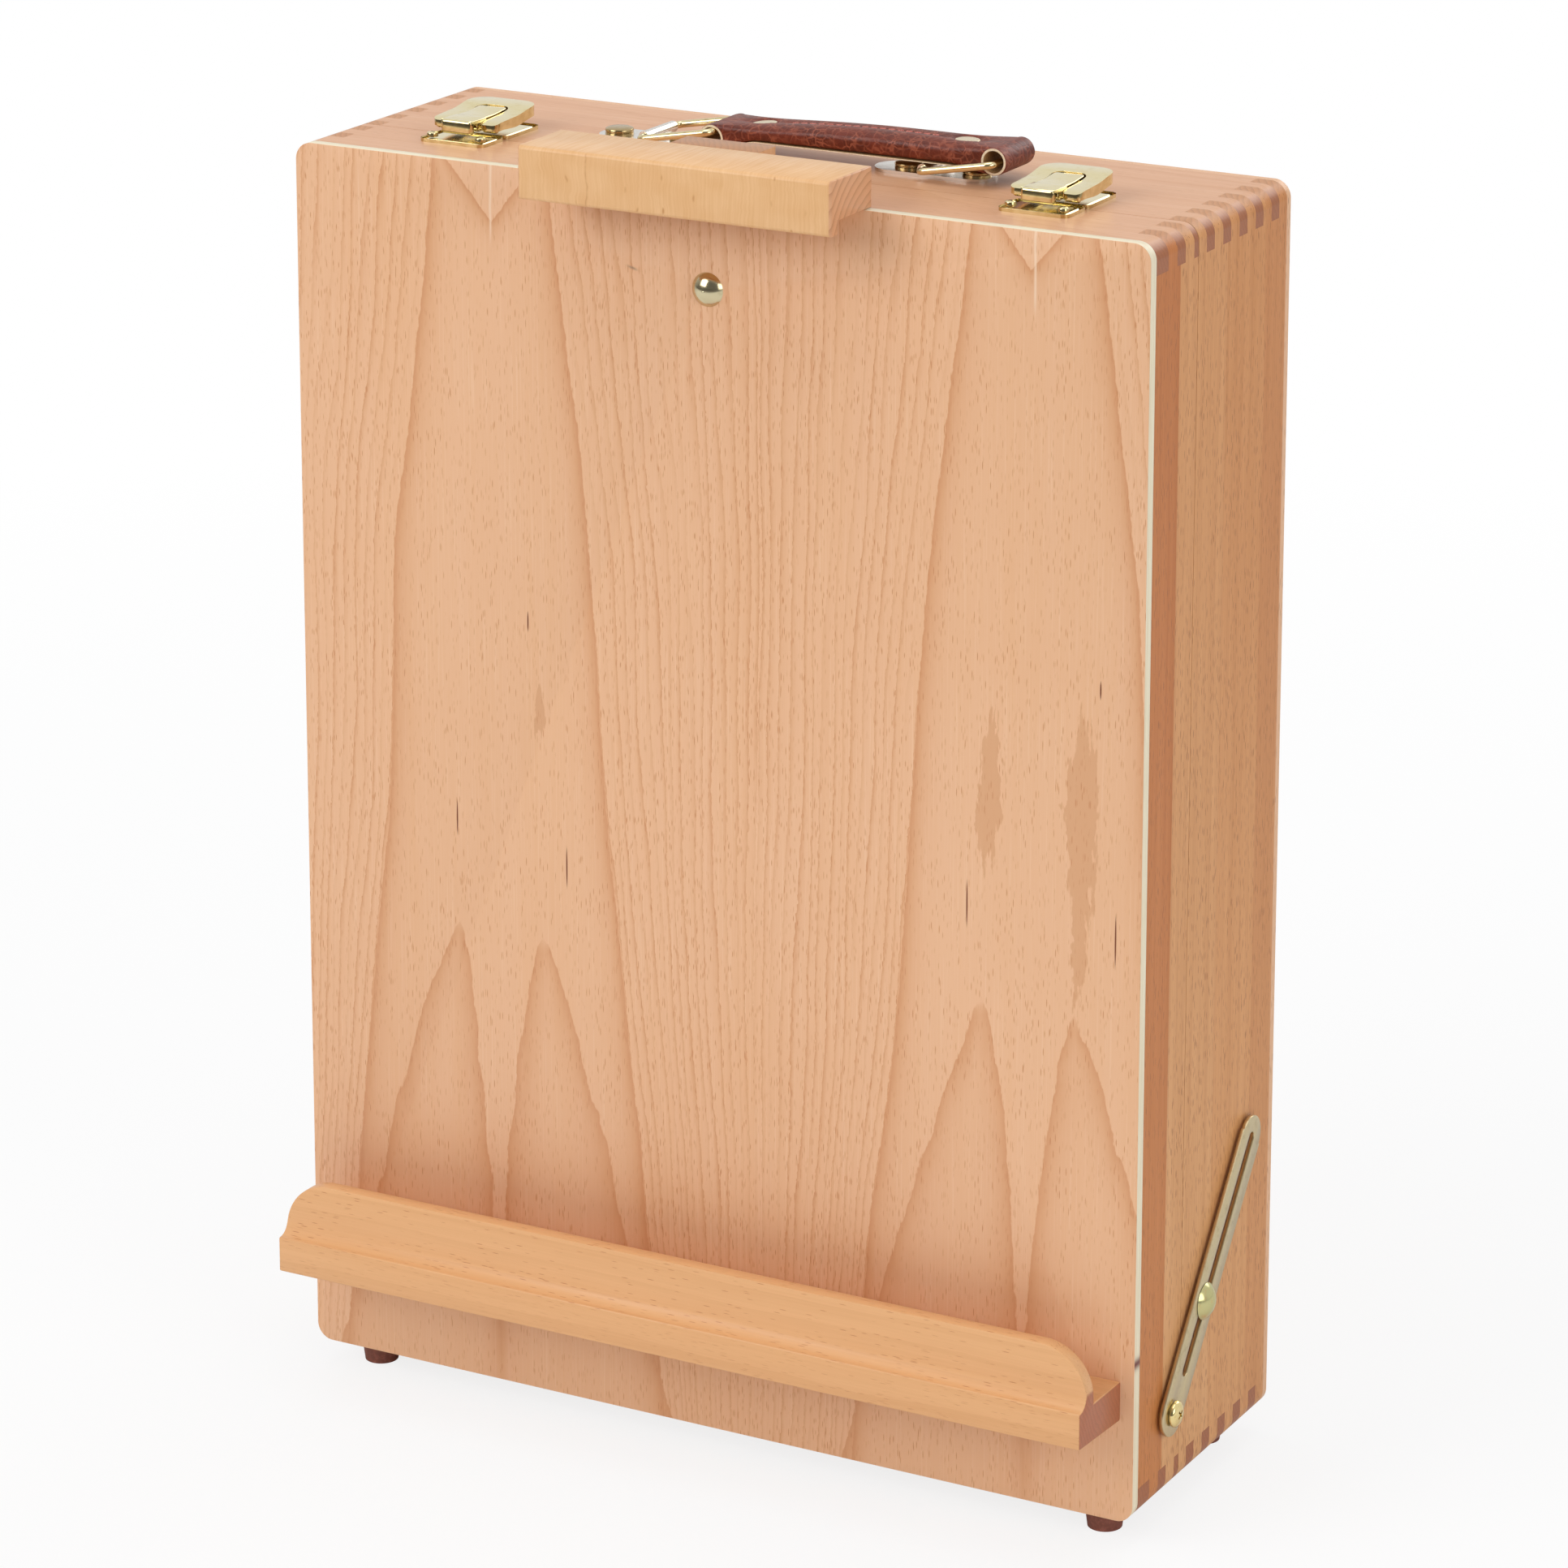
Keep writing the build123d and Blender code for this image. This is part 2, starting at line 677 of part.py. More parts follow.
strap_x = ring_run
loop_z = ring_z + ring_rise
strap_half = handle_pivot_spacing / 2
crest_z = loop_z + strap_crest_rise
end_z = loop_z + strap_end_rise
under_z = loop_z - strap_loop_radius + strap_underside
rivet_top = end_z + (crest_z - end_z) * (1 - (rivet_offset / strap_half) ** 2)
with BuildPart() as handle_strap:
    with BuildSketch(Plane.XZ.offset(-(handle_y - strap_width / 2))):
        with BuildLine():
            Line((strap_x - strap_half, under_z), (strap_x + strap_half, under_z))
            Line((strap_x + strap_half, under_z), (strap_x + strap_half, end_z))
            ThreePointArc((strap_x + strap_half, end_z), (strap_x, crest_z), (strap_x - strap_half, end_z))
            Line((strap_x - strap_half, end_z), (strap_x - strap_half, under_z))
        make_face()
    extrude(amount=-strap_width)
    crest = handle_strap.faces().sort_by(Axis.Z)[-1]
    fillet(crest.edges().filter_by(lambda edge: edge.length > strap_half), radius=strap_edge_radius)
    for end in (-1, 1):
        with Locations(Location((strap_x + end * strap_half, handle_y, loop_z), (90, 0, 0))):
            Cylinder(strap_loop_radius, strap_width)
    for end in (-1, 1):
        with Locations(Location((strap_x + end * strap_half, handle_y, loop_z), (90, 0, 0))):
            Cylinder(ring_wire_radius + thread_clearance, strap_width, mode=Mode.SUBTRACT)
        with Locations((strap_x + end * rivet_offset, handle_y, rivet_top)):
            Cylinder(rivet_radius + screw_fit, 2 * rivet_seat_depth, mode=Mode.SUBTRACT)
            Cylinder(rivet_shank_radius + screw_fit, 4 * strap_crest_rise, mode=Mode.SUBTRACT)
keep(handle_strap, "handle_strap")

for side, name in SIDES:
    seat = rivet_top - rivet_seat_depth
    rivet = domed_bolt(
        (strap_x + side * rivet_offset, handle_y, seat), (0, 0, 1), (1, 0, 0), rivet_radius,
        rivet_height, rivet_shank_radius, seat - under_z,
    )
    keep(rivet, f"handle_rivet_{name}")

# Latches: the lever turns on a pin just ahead of the seam and carries the hooked tongue

plate_z = z_top + latch_plate_height
pin_y = y_seam - pin_ahead + seam_gap / 2
pin_z = z_top + pin_height
for centre_x, name in ((latch_left_x, "left"), (latch_right_x, "right")):
    hook_y = pin_y - hook_ahead
    with BuildPart() as latch_catch:
        with Locations((centre_x, y_seam - latch_side_gap - catch_depth / 2, z_top + latch_plate_height / 2)):
            Box(latch_width, catch_depth, latch_plate_height)
        fillet(latch_catch.faces().sort_by(Axis.Z)[-1].edges(), radius=latch_edge_radius)
        with Locations((centre_x, hook_y + hook_thickness / 2, plate_z)):
            Box(2 * tongue_front_half, catch_pocket_length, 2 * catch_pocket_depth, mode=Mode.SUBTRACT)
    keep(latch_catch, f"latch_catch_{name}")

    base_y = y_box + latch_side_gap
    with BuildPart() as latch_base:
        with Locations((centre_x, base_y + base_depth / 2, z_top + latch_plate_height / 2)):
            Box(latch_width, base_depth, latch_plate_height)
        fillet(latch_base.faces().sort_by(Axis.Z)[-1].edges(), radius=latch_edge_radius)
        tab_low = pin_z - latch_knuckle_radius
        with BuildSketch(Plane.YZ.offset(centre_x - base_tab_half)):
            with BuildLine():
                Polyline((pin_y, tab_low), (base_y, tab_low), (base_y, z_top),
                         (base_y + base_tab_rear, z_top),
                         (base_y + base_tab_rear, tab_low + base_tab_thickness),
                         (pin_y, tab_low + base_tab_thickness), close=True)
            make_face()
            with Locations((pin_y, pin_z)):
                Circle(latch_knuckle_radius)
                Circle(pin_radius + thread_clearance, mode=Mode.SUBTRACT)
        extrude(amount=2 * base_tab_half)
    keep(latch_base, f"latch_base_{name}")

    lever_rear = pin_y + lever_reach
    lever_front = pin_y - latch_knuckle_radius
    with BuildPart() as latch_lever:
        with BuildSketch(Plane.YZ.offset(centre_x - lever_width / 2)):
            with Locations((pin_y, pin_z)):
                Circle(latch_knuckle_radius)
            with BuildLine():
                Polyline((pin_y, pin_z + latch_knuckle_radius),
                         (lever_rear, pin_z + latch_knuckle_radius + lever_rear_rise),
                         (lever_rear, pin_z + latch_knuckle_radius + lever_rear_rise - lever_front_thickness),
                         (pin_y, pin_z + latch_knuckle_radius - lever_front_thickness), close=True)
            make_face()
        extrude(amount=lever_width)
        with BuildSketch(Plane.XY.offset(z_top)) as lever_plan:
            with Locations((centre_x, (lever_front + lever_rear) / 2)):
                Rectangle(lever_width, lever_rear - lever_front)
            fillet(lever_plan.vertices().group_by(Axis.Y)[-1], radius=lever_rear_radius)
            fillet(lever_plan.vertices().group_by(Axis.Y)[0], radius=lever_front_radius)
            with BuildSketch(Plane.XY.offset(z_top), mode=Mode.SUBTRACT) as window:
                with Locations((centre_x, (lever_front - 1 + pin_y + lever_window_reach) / 2)):
                    Rectangle(2 * lever_window_half, pin_y + lever_window_reach - lever_front + 1)
                fillet(window.vertices().group_by(Axis.Y)[-1], radius=lever_window_radius)
        extrude(amount=4 * pin_height, mode=Mode.INTERSECT)
        with Locations(Location((centre_x, pin_y, pin_z), (0, 90, 0))):
            Cylinder(pin_radius, lever_width - 2.0)
        with Locations(Location((centre_x, pin_y + tongue_pin_reach, pin_z + tongue_pin_rise), (0, 90, 0))):
            Cylinder(tongue_pin_radius, lever_width - 8.0)
    keep(latch_lever, f"latch_lever_{name}")

    eye_y = pin_y + tongue_pin_reach
    eye_z = pin_z + tongue_pin_rise
    tongue_low = pin_z + latch_knuckle_radius + tongue_clearance
    tongue_high = tongue_low + tongue_thickness
    with BuildPart() as latch_tongue:
        with BuildSketch(Plane.YZ.offset(centre_x - tongue_front_half)):
            with BuildLine():
                Polyline((hook_y, tongue_high), (eye_y + tongue_tail, tongue_high),
                         (eye_y + tongue_tail, tongue_low), (hook_y + hook_thickness, tongue_low),
                         (hook_y + hook_thickness, plate_z + latch_side_gap),
                         (hook_y, plate_z + latch_side_gap), close=True)
            make_face()
            with Locations((eye_y, eye_z)):
                Circle(tongue_eye_radius)
        extrude(amount=2 * tongue_front_half)
        rear_cut = tongue_front_half - tongue_rear_half
        for edge in (-1, 1):
            with Locations((centre_x + edge * (tongue_front_half - rear_cut / 2),
                            (y_seam + eye_y + 2 * tongue_tail) / 2, eye_z)):
                Box(rear_cut, eye_y + 2 * tongue_tail - y_seam, 6 * tongue_eye_radius, mode=Mode.SUBTRACT)
        with Locations(Location((centre_x, eye_y, eye_z), (0, 90, 0))):
            Cylinder(tongue_pin_radius + thread_clearance, latch_width, mode=Mode.SUBTRACT)
    keep(latch_tongue, f"latch_tongue_{name}")
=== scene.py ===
"""Dresses the closed sketch-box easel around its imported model.

The model arrives as a fixed frame, in metres, with +Z up, +Y to the rear and +X to the right
seen from the front. The pieces whose shape is right keep it and get their finish here. The
others are replaced by finer ones in the same place.
"""

from __future__ import annotations

import logging
import math
from dataclasses import dataclass
from enum import Enum
from functools import reduce
from typing import Callable, Iterable, Sequence

import bmesh
import bpy
from mathutils import Matrix, Vector

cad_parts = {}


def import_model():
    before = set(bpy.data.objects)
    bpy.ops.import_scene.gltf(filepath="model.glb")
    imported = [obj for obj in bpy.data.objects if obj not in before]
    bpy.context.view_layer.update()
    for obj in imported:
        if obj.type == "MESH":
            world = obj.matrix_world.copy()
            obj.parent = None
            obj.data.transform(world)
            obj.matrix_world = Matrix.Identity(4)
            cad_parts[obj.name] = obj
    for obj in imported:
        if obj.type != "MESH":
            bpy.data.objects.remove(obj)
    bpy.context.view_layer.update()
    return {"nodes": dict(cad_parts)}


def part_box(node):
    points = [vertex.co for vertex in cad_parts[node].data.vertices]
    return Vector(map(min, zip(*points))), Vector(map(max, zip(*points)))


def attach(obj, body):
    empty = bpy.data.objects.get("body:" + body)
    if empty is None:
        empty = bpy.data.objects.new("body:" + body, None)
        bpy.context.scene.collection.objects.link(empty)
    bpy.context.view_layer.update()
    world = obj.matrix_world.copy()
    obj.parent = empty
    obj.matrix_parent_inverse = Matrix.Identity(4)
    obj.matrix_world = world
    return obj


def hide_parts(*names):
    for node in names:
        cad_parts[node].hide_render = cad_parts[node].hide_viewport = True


MM = 0.001
NEAR = 0.001
log = logging.getLogger("sketch_box")

Colour = tuple[float, float, float]


class Grain(Enum):
    """The axis of the object along which the fibres of a board run."""

    ALONG_X = "x"
    ALONG_Z = "z"


class Side(Enum):
    """Left or right, seen from the front."""

    LEFT = -1
    RIGHT = 1

    @property
    def word(self) -> str:
        """The side's part of a node's name."""
        return self.name.lower()


def srgb(red: int, green: int, blue: int) -> Colour:
    """Turns a colour of 0 to 255 into the linear values that shaders take.

    Args:
        red: red, 0 to 255.
        green: green, 0 to 255.
        blue: blue, 0 to 255.

    Returns:
        The linear red, green and blue.
    """
    parts = []
    for part in (red, green, blue):
        share = part / 255
        parts.append(share / 12.92 if share <= 0.04045 else ((share + 0.055) / 1.055) ** 2.4)
    return tuple(parts)


# Shader graphs


class Signal:
    """A value or colour on its way through a shader graph, with arithmetic."""

    def __init__(self, graph: Graph, socket: bpy.types.NodeSocket) -> None:
        """Keeps the graph and the output socket that carries the signal."""
        self.graph = graph
        self.socket = socket

    def __add__(self, other: Signal | float) -> Signal:
        """Sum."""
        return self.graph.math("ADD", self, other)

    def __sub__(self, other: Signal | float) -> Signal:
        """Difference."""
        return self.graph.math("SUBTRACT", self, other)

    def __rsub__(self, other: float) -> Signal:
        """Difference from a number."""
        return self.graph.math("SUBTRACT", other, self)

    def __mul__(self, other: Signal | float) -> Signal:
        """Product."""
        return self.graph.math("MULTIPLY", self, other)

    def __truediv__(self, other: Signal | float) -> Signal:
        """Quotient."""
        return self.graph.math("DIVIDE", self, other)

    def __pow__(self, other: Signal | float) -> Signal:
        """Power."""
        return self.graph.math("POWER", self, other)

    __radd__ = __add__
    __rmul__ = __mul__

    def size(self) -> Signal:
        """Absolute value."""
        return self.graph.math("ABSOLUTE", self)

    def fraction(self) -> Signal:
        """What is left after whole numbers."""
        return self.graph.math("FRACT", self)

    def least(self, other: Signal | float) -> Signal:
        """The smaller of two."""
        return self.graph.math("MINIMUM", self, other)

    def most(self, other: Signal | float) -> Signal:
        """The larger of two."""
        return self.graph.math("MAXIMUM", self, other)

    def step(self, low: float, high: float) -> Signal:
        """A smooth step from 0 at low to 1 at high. low may be the larger."""
        return self.graph.spread(self, low, high, 0.0, 1.0, smooth=True)

    def hump(self, centre: float, width: float) -> Signal:
        """A smooth hump of height 1 at centre that falls away over width."""
        shift = (self - centre) / width
        return self.graph.math("EXPONENT", shift * shift * -1.0)


class Graph:
    """A node tree that is being built."""

    def __init__(self, tree: bpy.types.NodeTree) -> None:
        """Keeps the tree."""
        self.tree = tree

    def add(self, kind: str, **settings: object) -> bpy.types.Node:
        """Adds a node.

        Args:
            kind: Blender's name for the node's type.
            settings: properties of the node.

        Returns:
            The node.
        """
        node = self.tree.nodes.new(kind)
        for name, value in settings.items():
            setattr(node, name, value)
        return node

    def feed(self, socket: bpy.types.NodeSocket, value: object) -> None:
        """Gives a socket a signal, or a plain number, vector or colour.

        Args:
            socket: the input to feed.
            value: a Signal, a number or a tuple. A colour of 3 parts gets its alpha.
        """
        if isinstance(value, Signal):
            self.tree.links.new(value.socket, socket)
        elif socket.type == "RGBA" and len(value) == 3:
            socket.default_value = (*value, 1.0)
        else:
            socket.default_value = value

    def fill(self, node: bpy.types.Node, **values: object) -> None:
        """Feeds inputs of a node by name, with underscores for the spaces in their names."""
        for name, value in values.items():
            self.feed(node.inputs[name.replace("_", " ")], value)

    def math(self, operation: str, *values: Signal | float) -> Signal:
        """A Math node on the given values.

        Args:
            operation: Blender's name for it.
            values: its inputs in order.

        Returns:
            The result.
        """
        node = self.add("ShaderNodeMath", operation=operation)
        for socket, value in zip(node.inputs, values):
            self.feed(socket, value)
        return Signal(self, node.outputs[0])

    def spread(self, value: Signal, low: float, high: float, first: float, last: float,
               smooth: bool = False) -> Signal:
        """Maps low..high to first..last, held at both ends.

        Args:
            value: the signal to map.
            low: the input that gives first.
            high: the input that gives last.
            first: the output at low.
            last: the output at high.
            smooth: eases both ends.

        Returns:
            The mapped signal.
        """
        node = self.add("ShaderNodeMapRange", interpolation_type="SMOOTHSTEP" if smooth else "LINEAR")
        node.clamp = True
        self.fill(node, From_Min=low, From_Max=high, To_Min=first, To_Max=last, Value=value)
        return Signal(self, node.outputs[0])

    def vector(self, x: Signal | float, y: Signal | float, z: Signal | float) -> Signal:
        """Joins three values to a vector.

        Args:
            x: first value.
            y: second value.
            z: third value.

        Returns:
            The vector.
        """
        node = self.add("ShaderNodeCombineXYZ")
        for socket, value in zip(node.inputs, (x, y, z)):
            self.feed(socket, value)
        return Signal(self, node.outputs[0])

    def parts(self, vector: Signal) -> tuple[Signal, Signal, Signal]:
        """Splits a vector into its three values."""
        node = self.add("ShaderNodeSeparateXYZ")
        self.feed(node.inputs[0], vector)
        return tuple(Signal(self, output) for output in node.outputs)

    def place(self) -> Signal:
        """The point on the surface, in millimetres of the object's frame.

        Returns:
            The point.
        """
        node = self.add("ShaderNodeTexCoord")
        scale = self.add("ShaderNodeMapping")
        scale.inputs["Scale"].default_value = (1 / MM, 1 / MM, 1 / MM)
        self.tree.links.new(node.outputs["Object"], scale.inputs["Vector"])
        return Signal(self, scale.outputs[0])

    def noise(self, x: Signal | float, y: Signal | float, z: Signal | float, detail: float = 2.0,
              rough: float = 0.5) -> Signal:
        """Smooth noise of about 0 to 1 with a grain of one unit.

        Args:
            x: first coordinate.
            y: second coordinate.
            z: third coordinate.
            detail: finer layers that are added.
            rough: strength of the finer layers.

        Returns:
            The noise.
        """
        node = self.add("ShaderNodeTexNoise")
        self.fill(node, Scale=1.0, Detail=detail, Roughness=rough, Vector=self.vector(x, y, z))
        return Signal(self, node.outputs[0])

    def sway(self, x: Signal | float, y: Signal | float, z: Signal | float, detail: float = 2.0,
             rough: float = 0.5) -> Signal:
        """The same noise about 0, half a unit to each side."""
        return self.noise(x, y, z, detail, rough) - 0.5

    def mottle(self, place: tuple[Signal, Signal, Signal], size: float, detail: float = 2.0,
               rough: float = 0.5) -> Signal:
        """The same noise with a grain of one size in every direction."""
        return self.noise(*(part / size for part in place), detail, rough)

    def cracks(self, spot: Signal, scale: float) -> Signal:
        """Distance from the borders of a cell pattern, with scale cells per unit."""
        node = self.add("ShaderNodeTexVoronoi", feature="DISTANCE_TO_EDGE")
        self.fill(node, Scale=scale, Vector=spot)
        return Signal(self, node.outputs["Distance"])

    def dots(self, spot: Signal, edge: float, core: float) -> Signal:
        """Soft dots, one in about every second cell of size 1, each with a strength of its own.

        Args:
            spot: the point, in cells.
            edge: distance from a dot's middle at which it ends.
            core: distance up to which it is full.

        Returns:
            The dots' strength.
        """
        node = self.add("ShaderNodeTexVoronoi")
        self.fill(node, Scale=1.0, Vector=spot)
        own, _, _ = self.parts(Signal(self, node.outputs["Color"]))
        return Signal(self, node.outputs["Distance"]).step(edge, core) * own.step(0.2, 0.8)

    def mix(self, share: Signal | float, first: Signal | Colour, second: Signal | Colour,
            blend: str = "MIX") -> Signal:
        """Mixes two colours by share.

        Args:
            share: 0 for the first, 1 for the second.
            first: the first colour.
            second: the second colour.
            blend: how the second meets the first.

        Returns:
            The mixed colour.
        """
        node = self.add("ShaderNodeMix", data_type="RGBA", blend_type=blend)
        self.feed(node.inputs["Factor"], share)
        self.feed(node.inputs[6], first)
        self.feed(node.inputs[7], second)
        return Signal(self, node.outputs[2])

    def blend(self, share: Signal, first: bpy.types.Node, second: bpy.types.Node) -> bpy.types.Node:
        """Mixes two shaders by share.

        Args:
            share: 0 for the first, 1 for the second.
            first: the first shader.
            second: the second shader.

        Returns:
            The mixed shader.
        """
        node = self.add("ShaderNodeMixShader")
        self.feed(node.inputs[0], share)
        for socket, shader in zip(node.inputs[1:], (first, second)):
            self.tree.links.new(shader.outputs[0], socket)
        return node

    def end(self, shader: bpy.types.Node, kind: str = "Material") -> None:
        """Sends a shader to the output of a Material or World."""
        output = self.add(f"ShaderNodeOutput{kind}")
        self.tree.links.new(shader.outputs[0], output.inputs["Surface"])

    def bump(self, height: Signal, strength: float, distance: float) -> Signal:
        """Turns a height into a normal.

        Args:
            height: height in units of distance.
            strength: 0 to 1.
            distance: metres that a height of 1 stands for.

        Returns:
            The normal.
        """
        node = self.add("ShaderNodeBump")
        self.fill(node, Strength=strength, Distance=distance, Height=height)
        return Signal(self, node.outputs[0])


class EffectGroup:
    """A node group that several finishes share. It is built once."""

    name = "effect"
    inputs: tuple[tuple[str, str, object], ...] = ()
    outputs: tuple[tuple[str, str], ...] = ()

    def build(self, graph: Graph, given: dict[str, Signal]) -> dict[str, Signal]:
        """Makes the group's inside.

        Args:
            graph: the group's own graph.
            given: its inputs by name.

        Returns:
            Its outputs by name.
        """
        raise NotImplementedError

    def tree(self) -> bpy.types.NodeTree:
        """Finds the group's tree, or builds it the first time.

        Returns:
            The tree.
        """
        ready = bpy.data.node_groups.get(self.name)
        if ready:
            return ready
        tree = bpy.data.node_groups.new(self.name, "ShaderNodeTree")
        for name, kind, value in self.inputs:
            socket = tree.interface.new_socket(name, in_out="INPUT", socket_type=kind)
            if value is not None:
                socket.default_value = value
        for name, kind in self.outputs:
            tree.interface.new_socket(name, in_out="OUTPUT", socket_type=kind)
        graph = Graph(tree)
        entry = graph.add("NodeGroupInput")
        leave = graph.add("NodeGroupOutput")
        given = {name: Signal(graph, entry.outputs[name]) for name, _, _ in self.inputs}
        for name, signal in self.build(graph, given).items():
            graph.feed(leave.inputs[name], signal)
        return tree

    def use(self, graph: Graph, **values: object) -> dict[str, Signal]:
        """Places the group in a graph.

        Args:
            graph: where it goes.
            values: its inputs, with underscores for the spaces in their names.

        Returns:
            Its outputs by name.
        """
        node = graph.add("ShaderNodeGroup")
        node.node_tree = self.tree()
        graph.fill(node, **values)
        return {name: Signal(graph, node.outputs[name]) for name, _ in self.outputs}


NUMBER = "NodeSocketFloat"
VECTOR = "NodeSocketVector"
PORE = 0.3


class FibreGroup(EffectGroup):
    """Growth rings, short dark flecks and soft streaks of beech whose fibres run along Z."""

    name = "beech_fibre"
    inputs = (
        ("Place", VECTOR, None),
        ("Pith X", NUMBER, 0.0),
        ("Pith Y", NUMBER, 0.0),
        ("Ring Pitch", NUMBER, 3.0),
        ("Wander", NUMBER, 2.0),
        ("Fleck Amount", NUMBER, 1.0),
    )
    outputs = (("Ring", NUMBER), ("Fleck", NUMBER), ("Streak", NUMBER))

    def build(self, graph: Graph, given: dict[str, Signal]) -> dict[str, Signal]:
        """Rings by distance from the pith, flecks from stretched dots, streaks from noise.

        Args:
            graph: the group's own graph.
            given: its inputs by name.

        Returns:
            Its outputs by name.
        """
        x, y, z = graph.parts(given["Place"])
        drift = graph.sway(x / 45, y / 45, z / 240, 3.0) * given["Wander"]
        away_x = x - given["Pith X"]
        away_y = y - given["Pith Y"]
        radius = graph.math("SQRT", away_x * away_x + away_y * away_y) + drift
        jag = graph.noise(x / 0.9, y / 0.9, z / 7) * 0.5
        turn = ((radius + jag) / given["Ring Pitch"]).fraction()
        fleck = graph.dots(graph.vector(x / 0.6, y / 0.6, z / 6.0), 0.31, 0.16)
        patch = graph.noise(x / 14, y / 14, z / 40).step(0.3, 0.62)
        fine = graph.noise(x / 0.8, y / 0.8, z / 45)
        wide = graph.noise(x / 7, y / 7, z / 300)
        return {
            "Ring": turn ** 2.6,
            "Fleck": fleck * (patch * 0.5 + 0.5) * given["Fleck Amount"],
            "Streak": fine * 0.5 + wide * 0.5,
        }


class EndGrainGroup(EffectGroup):
    """The cut ends of beech fibres, seen along Z: pores and curved rings."""

    name = "beech_end_grain"
    inputs = (("Place", VECTOR, None), ("Ring Pitch", NUMBER, 2.2), ("Tilt", NUMBER, 0.6))
    outputs = (("Shade", NUMBER),)

    def build(self, graph: Graph, given: dict[str, Signal]) -> dict[str, Signal]:
        """Slanted curved rings with fine pores.

        Args:
            graph: the group's own graph.
            given: its inputs by name.

        Returns:
            Its outputs by name.
        """
        place = graph.parts(given["Place"])
        slant = place[0] + place[1] * given["Tilt"] + graph.mottle(place, 9.0) * 4
        ring = (slant / given["Ring Pitch"]).fraction()
        pore = graph.mottle(place, PORE, 1.0)
        return {"Shade": ring * ring * 0.55 + pore * 0.45}


class RubGroup(EffectGroup):
    """Marks on plated metal: fine hairlines, soft smudges and small dark specks."""

    name = "plate_rub"
    inputs = (("Place", VECTOR, None),)
    outputs = (("Smudge", NUMBER), ("Hairline", NUMBER), ("Speck", NUMBER))

    def build(self, graph: Graph, given: dict[str, Signal]) -> dict[str, Signal]:
        """Noise at three scales.

        Args:
            graph: the group's own graph.
            given: its inputs by name.

        Returns:
            Its outputs by name.
        """
        place = x, y, z = graph.parts(given["Place"])
        return {
            "Smudge": graph.mottle(place, 3.2, 4.0, 0.6),
            "Hairline": graph.noise(x / 0.15, y / 2.5, z / 0.5),
            "Speck": graph.mottle(place, 0.35).step(0.68, 0.76),
        }


def empty_graph(owner: bpy.types.Material | bpy.types.World) -> Graph:
    """Gives a material or world an empty graph."""
    owner.use_nodes = True
    owner.node_tree.nodes.clear()
    return Graph(owner.node_tree)


def new_material(name: str) -> tuple[bpy.types.Material, Graph, bpy.types.Node]:
    """Makes an empty material with a Principled shader.

    Args:
        name: the material's name.

    Returns:
        The material, its graph and the shader node.
    """
    material = bpy.data.materials.new(name)
    graph = empty_graph(material)
    shader = graph.add("ShaderNodeBsdfPrincipled")
    graph.end(shader)
    return material, graph, shader


FLECK_DEPTH = 0.00005
LACQUER = 0.2


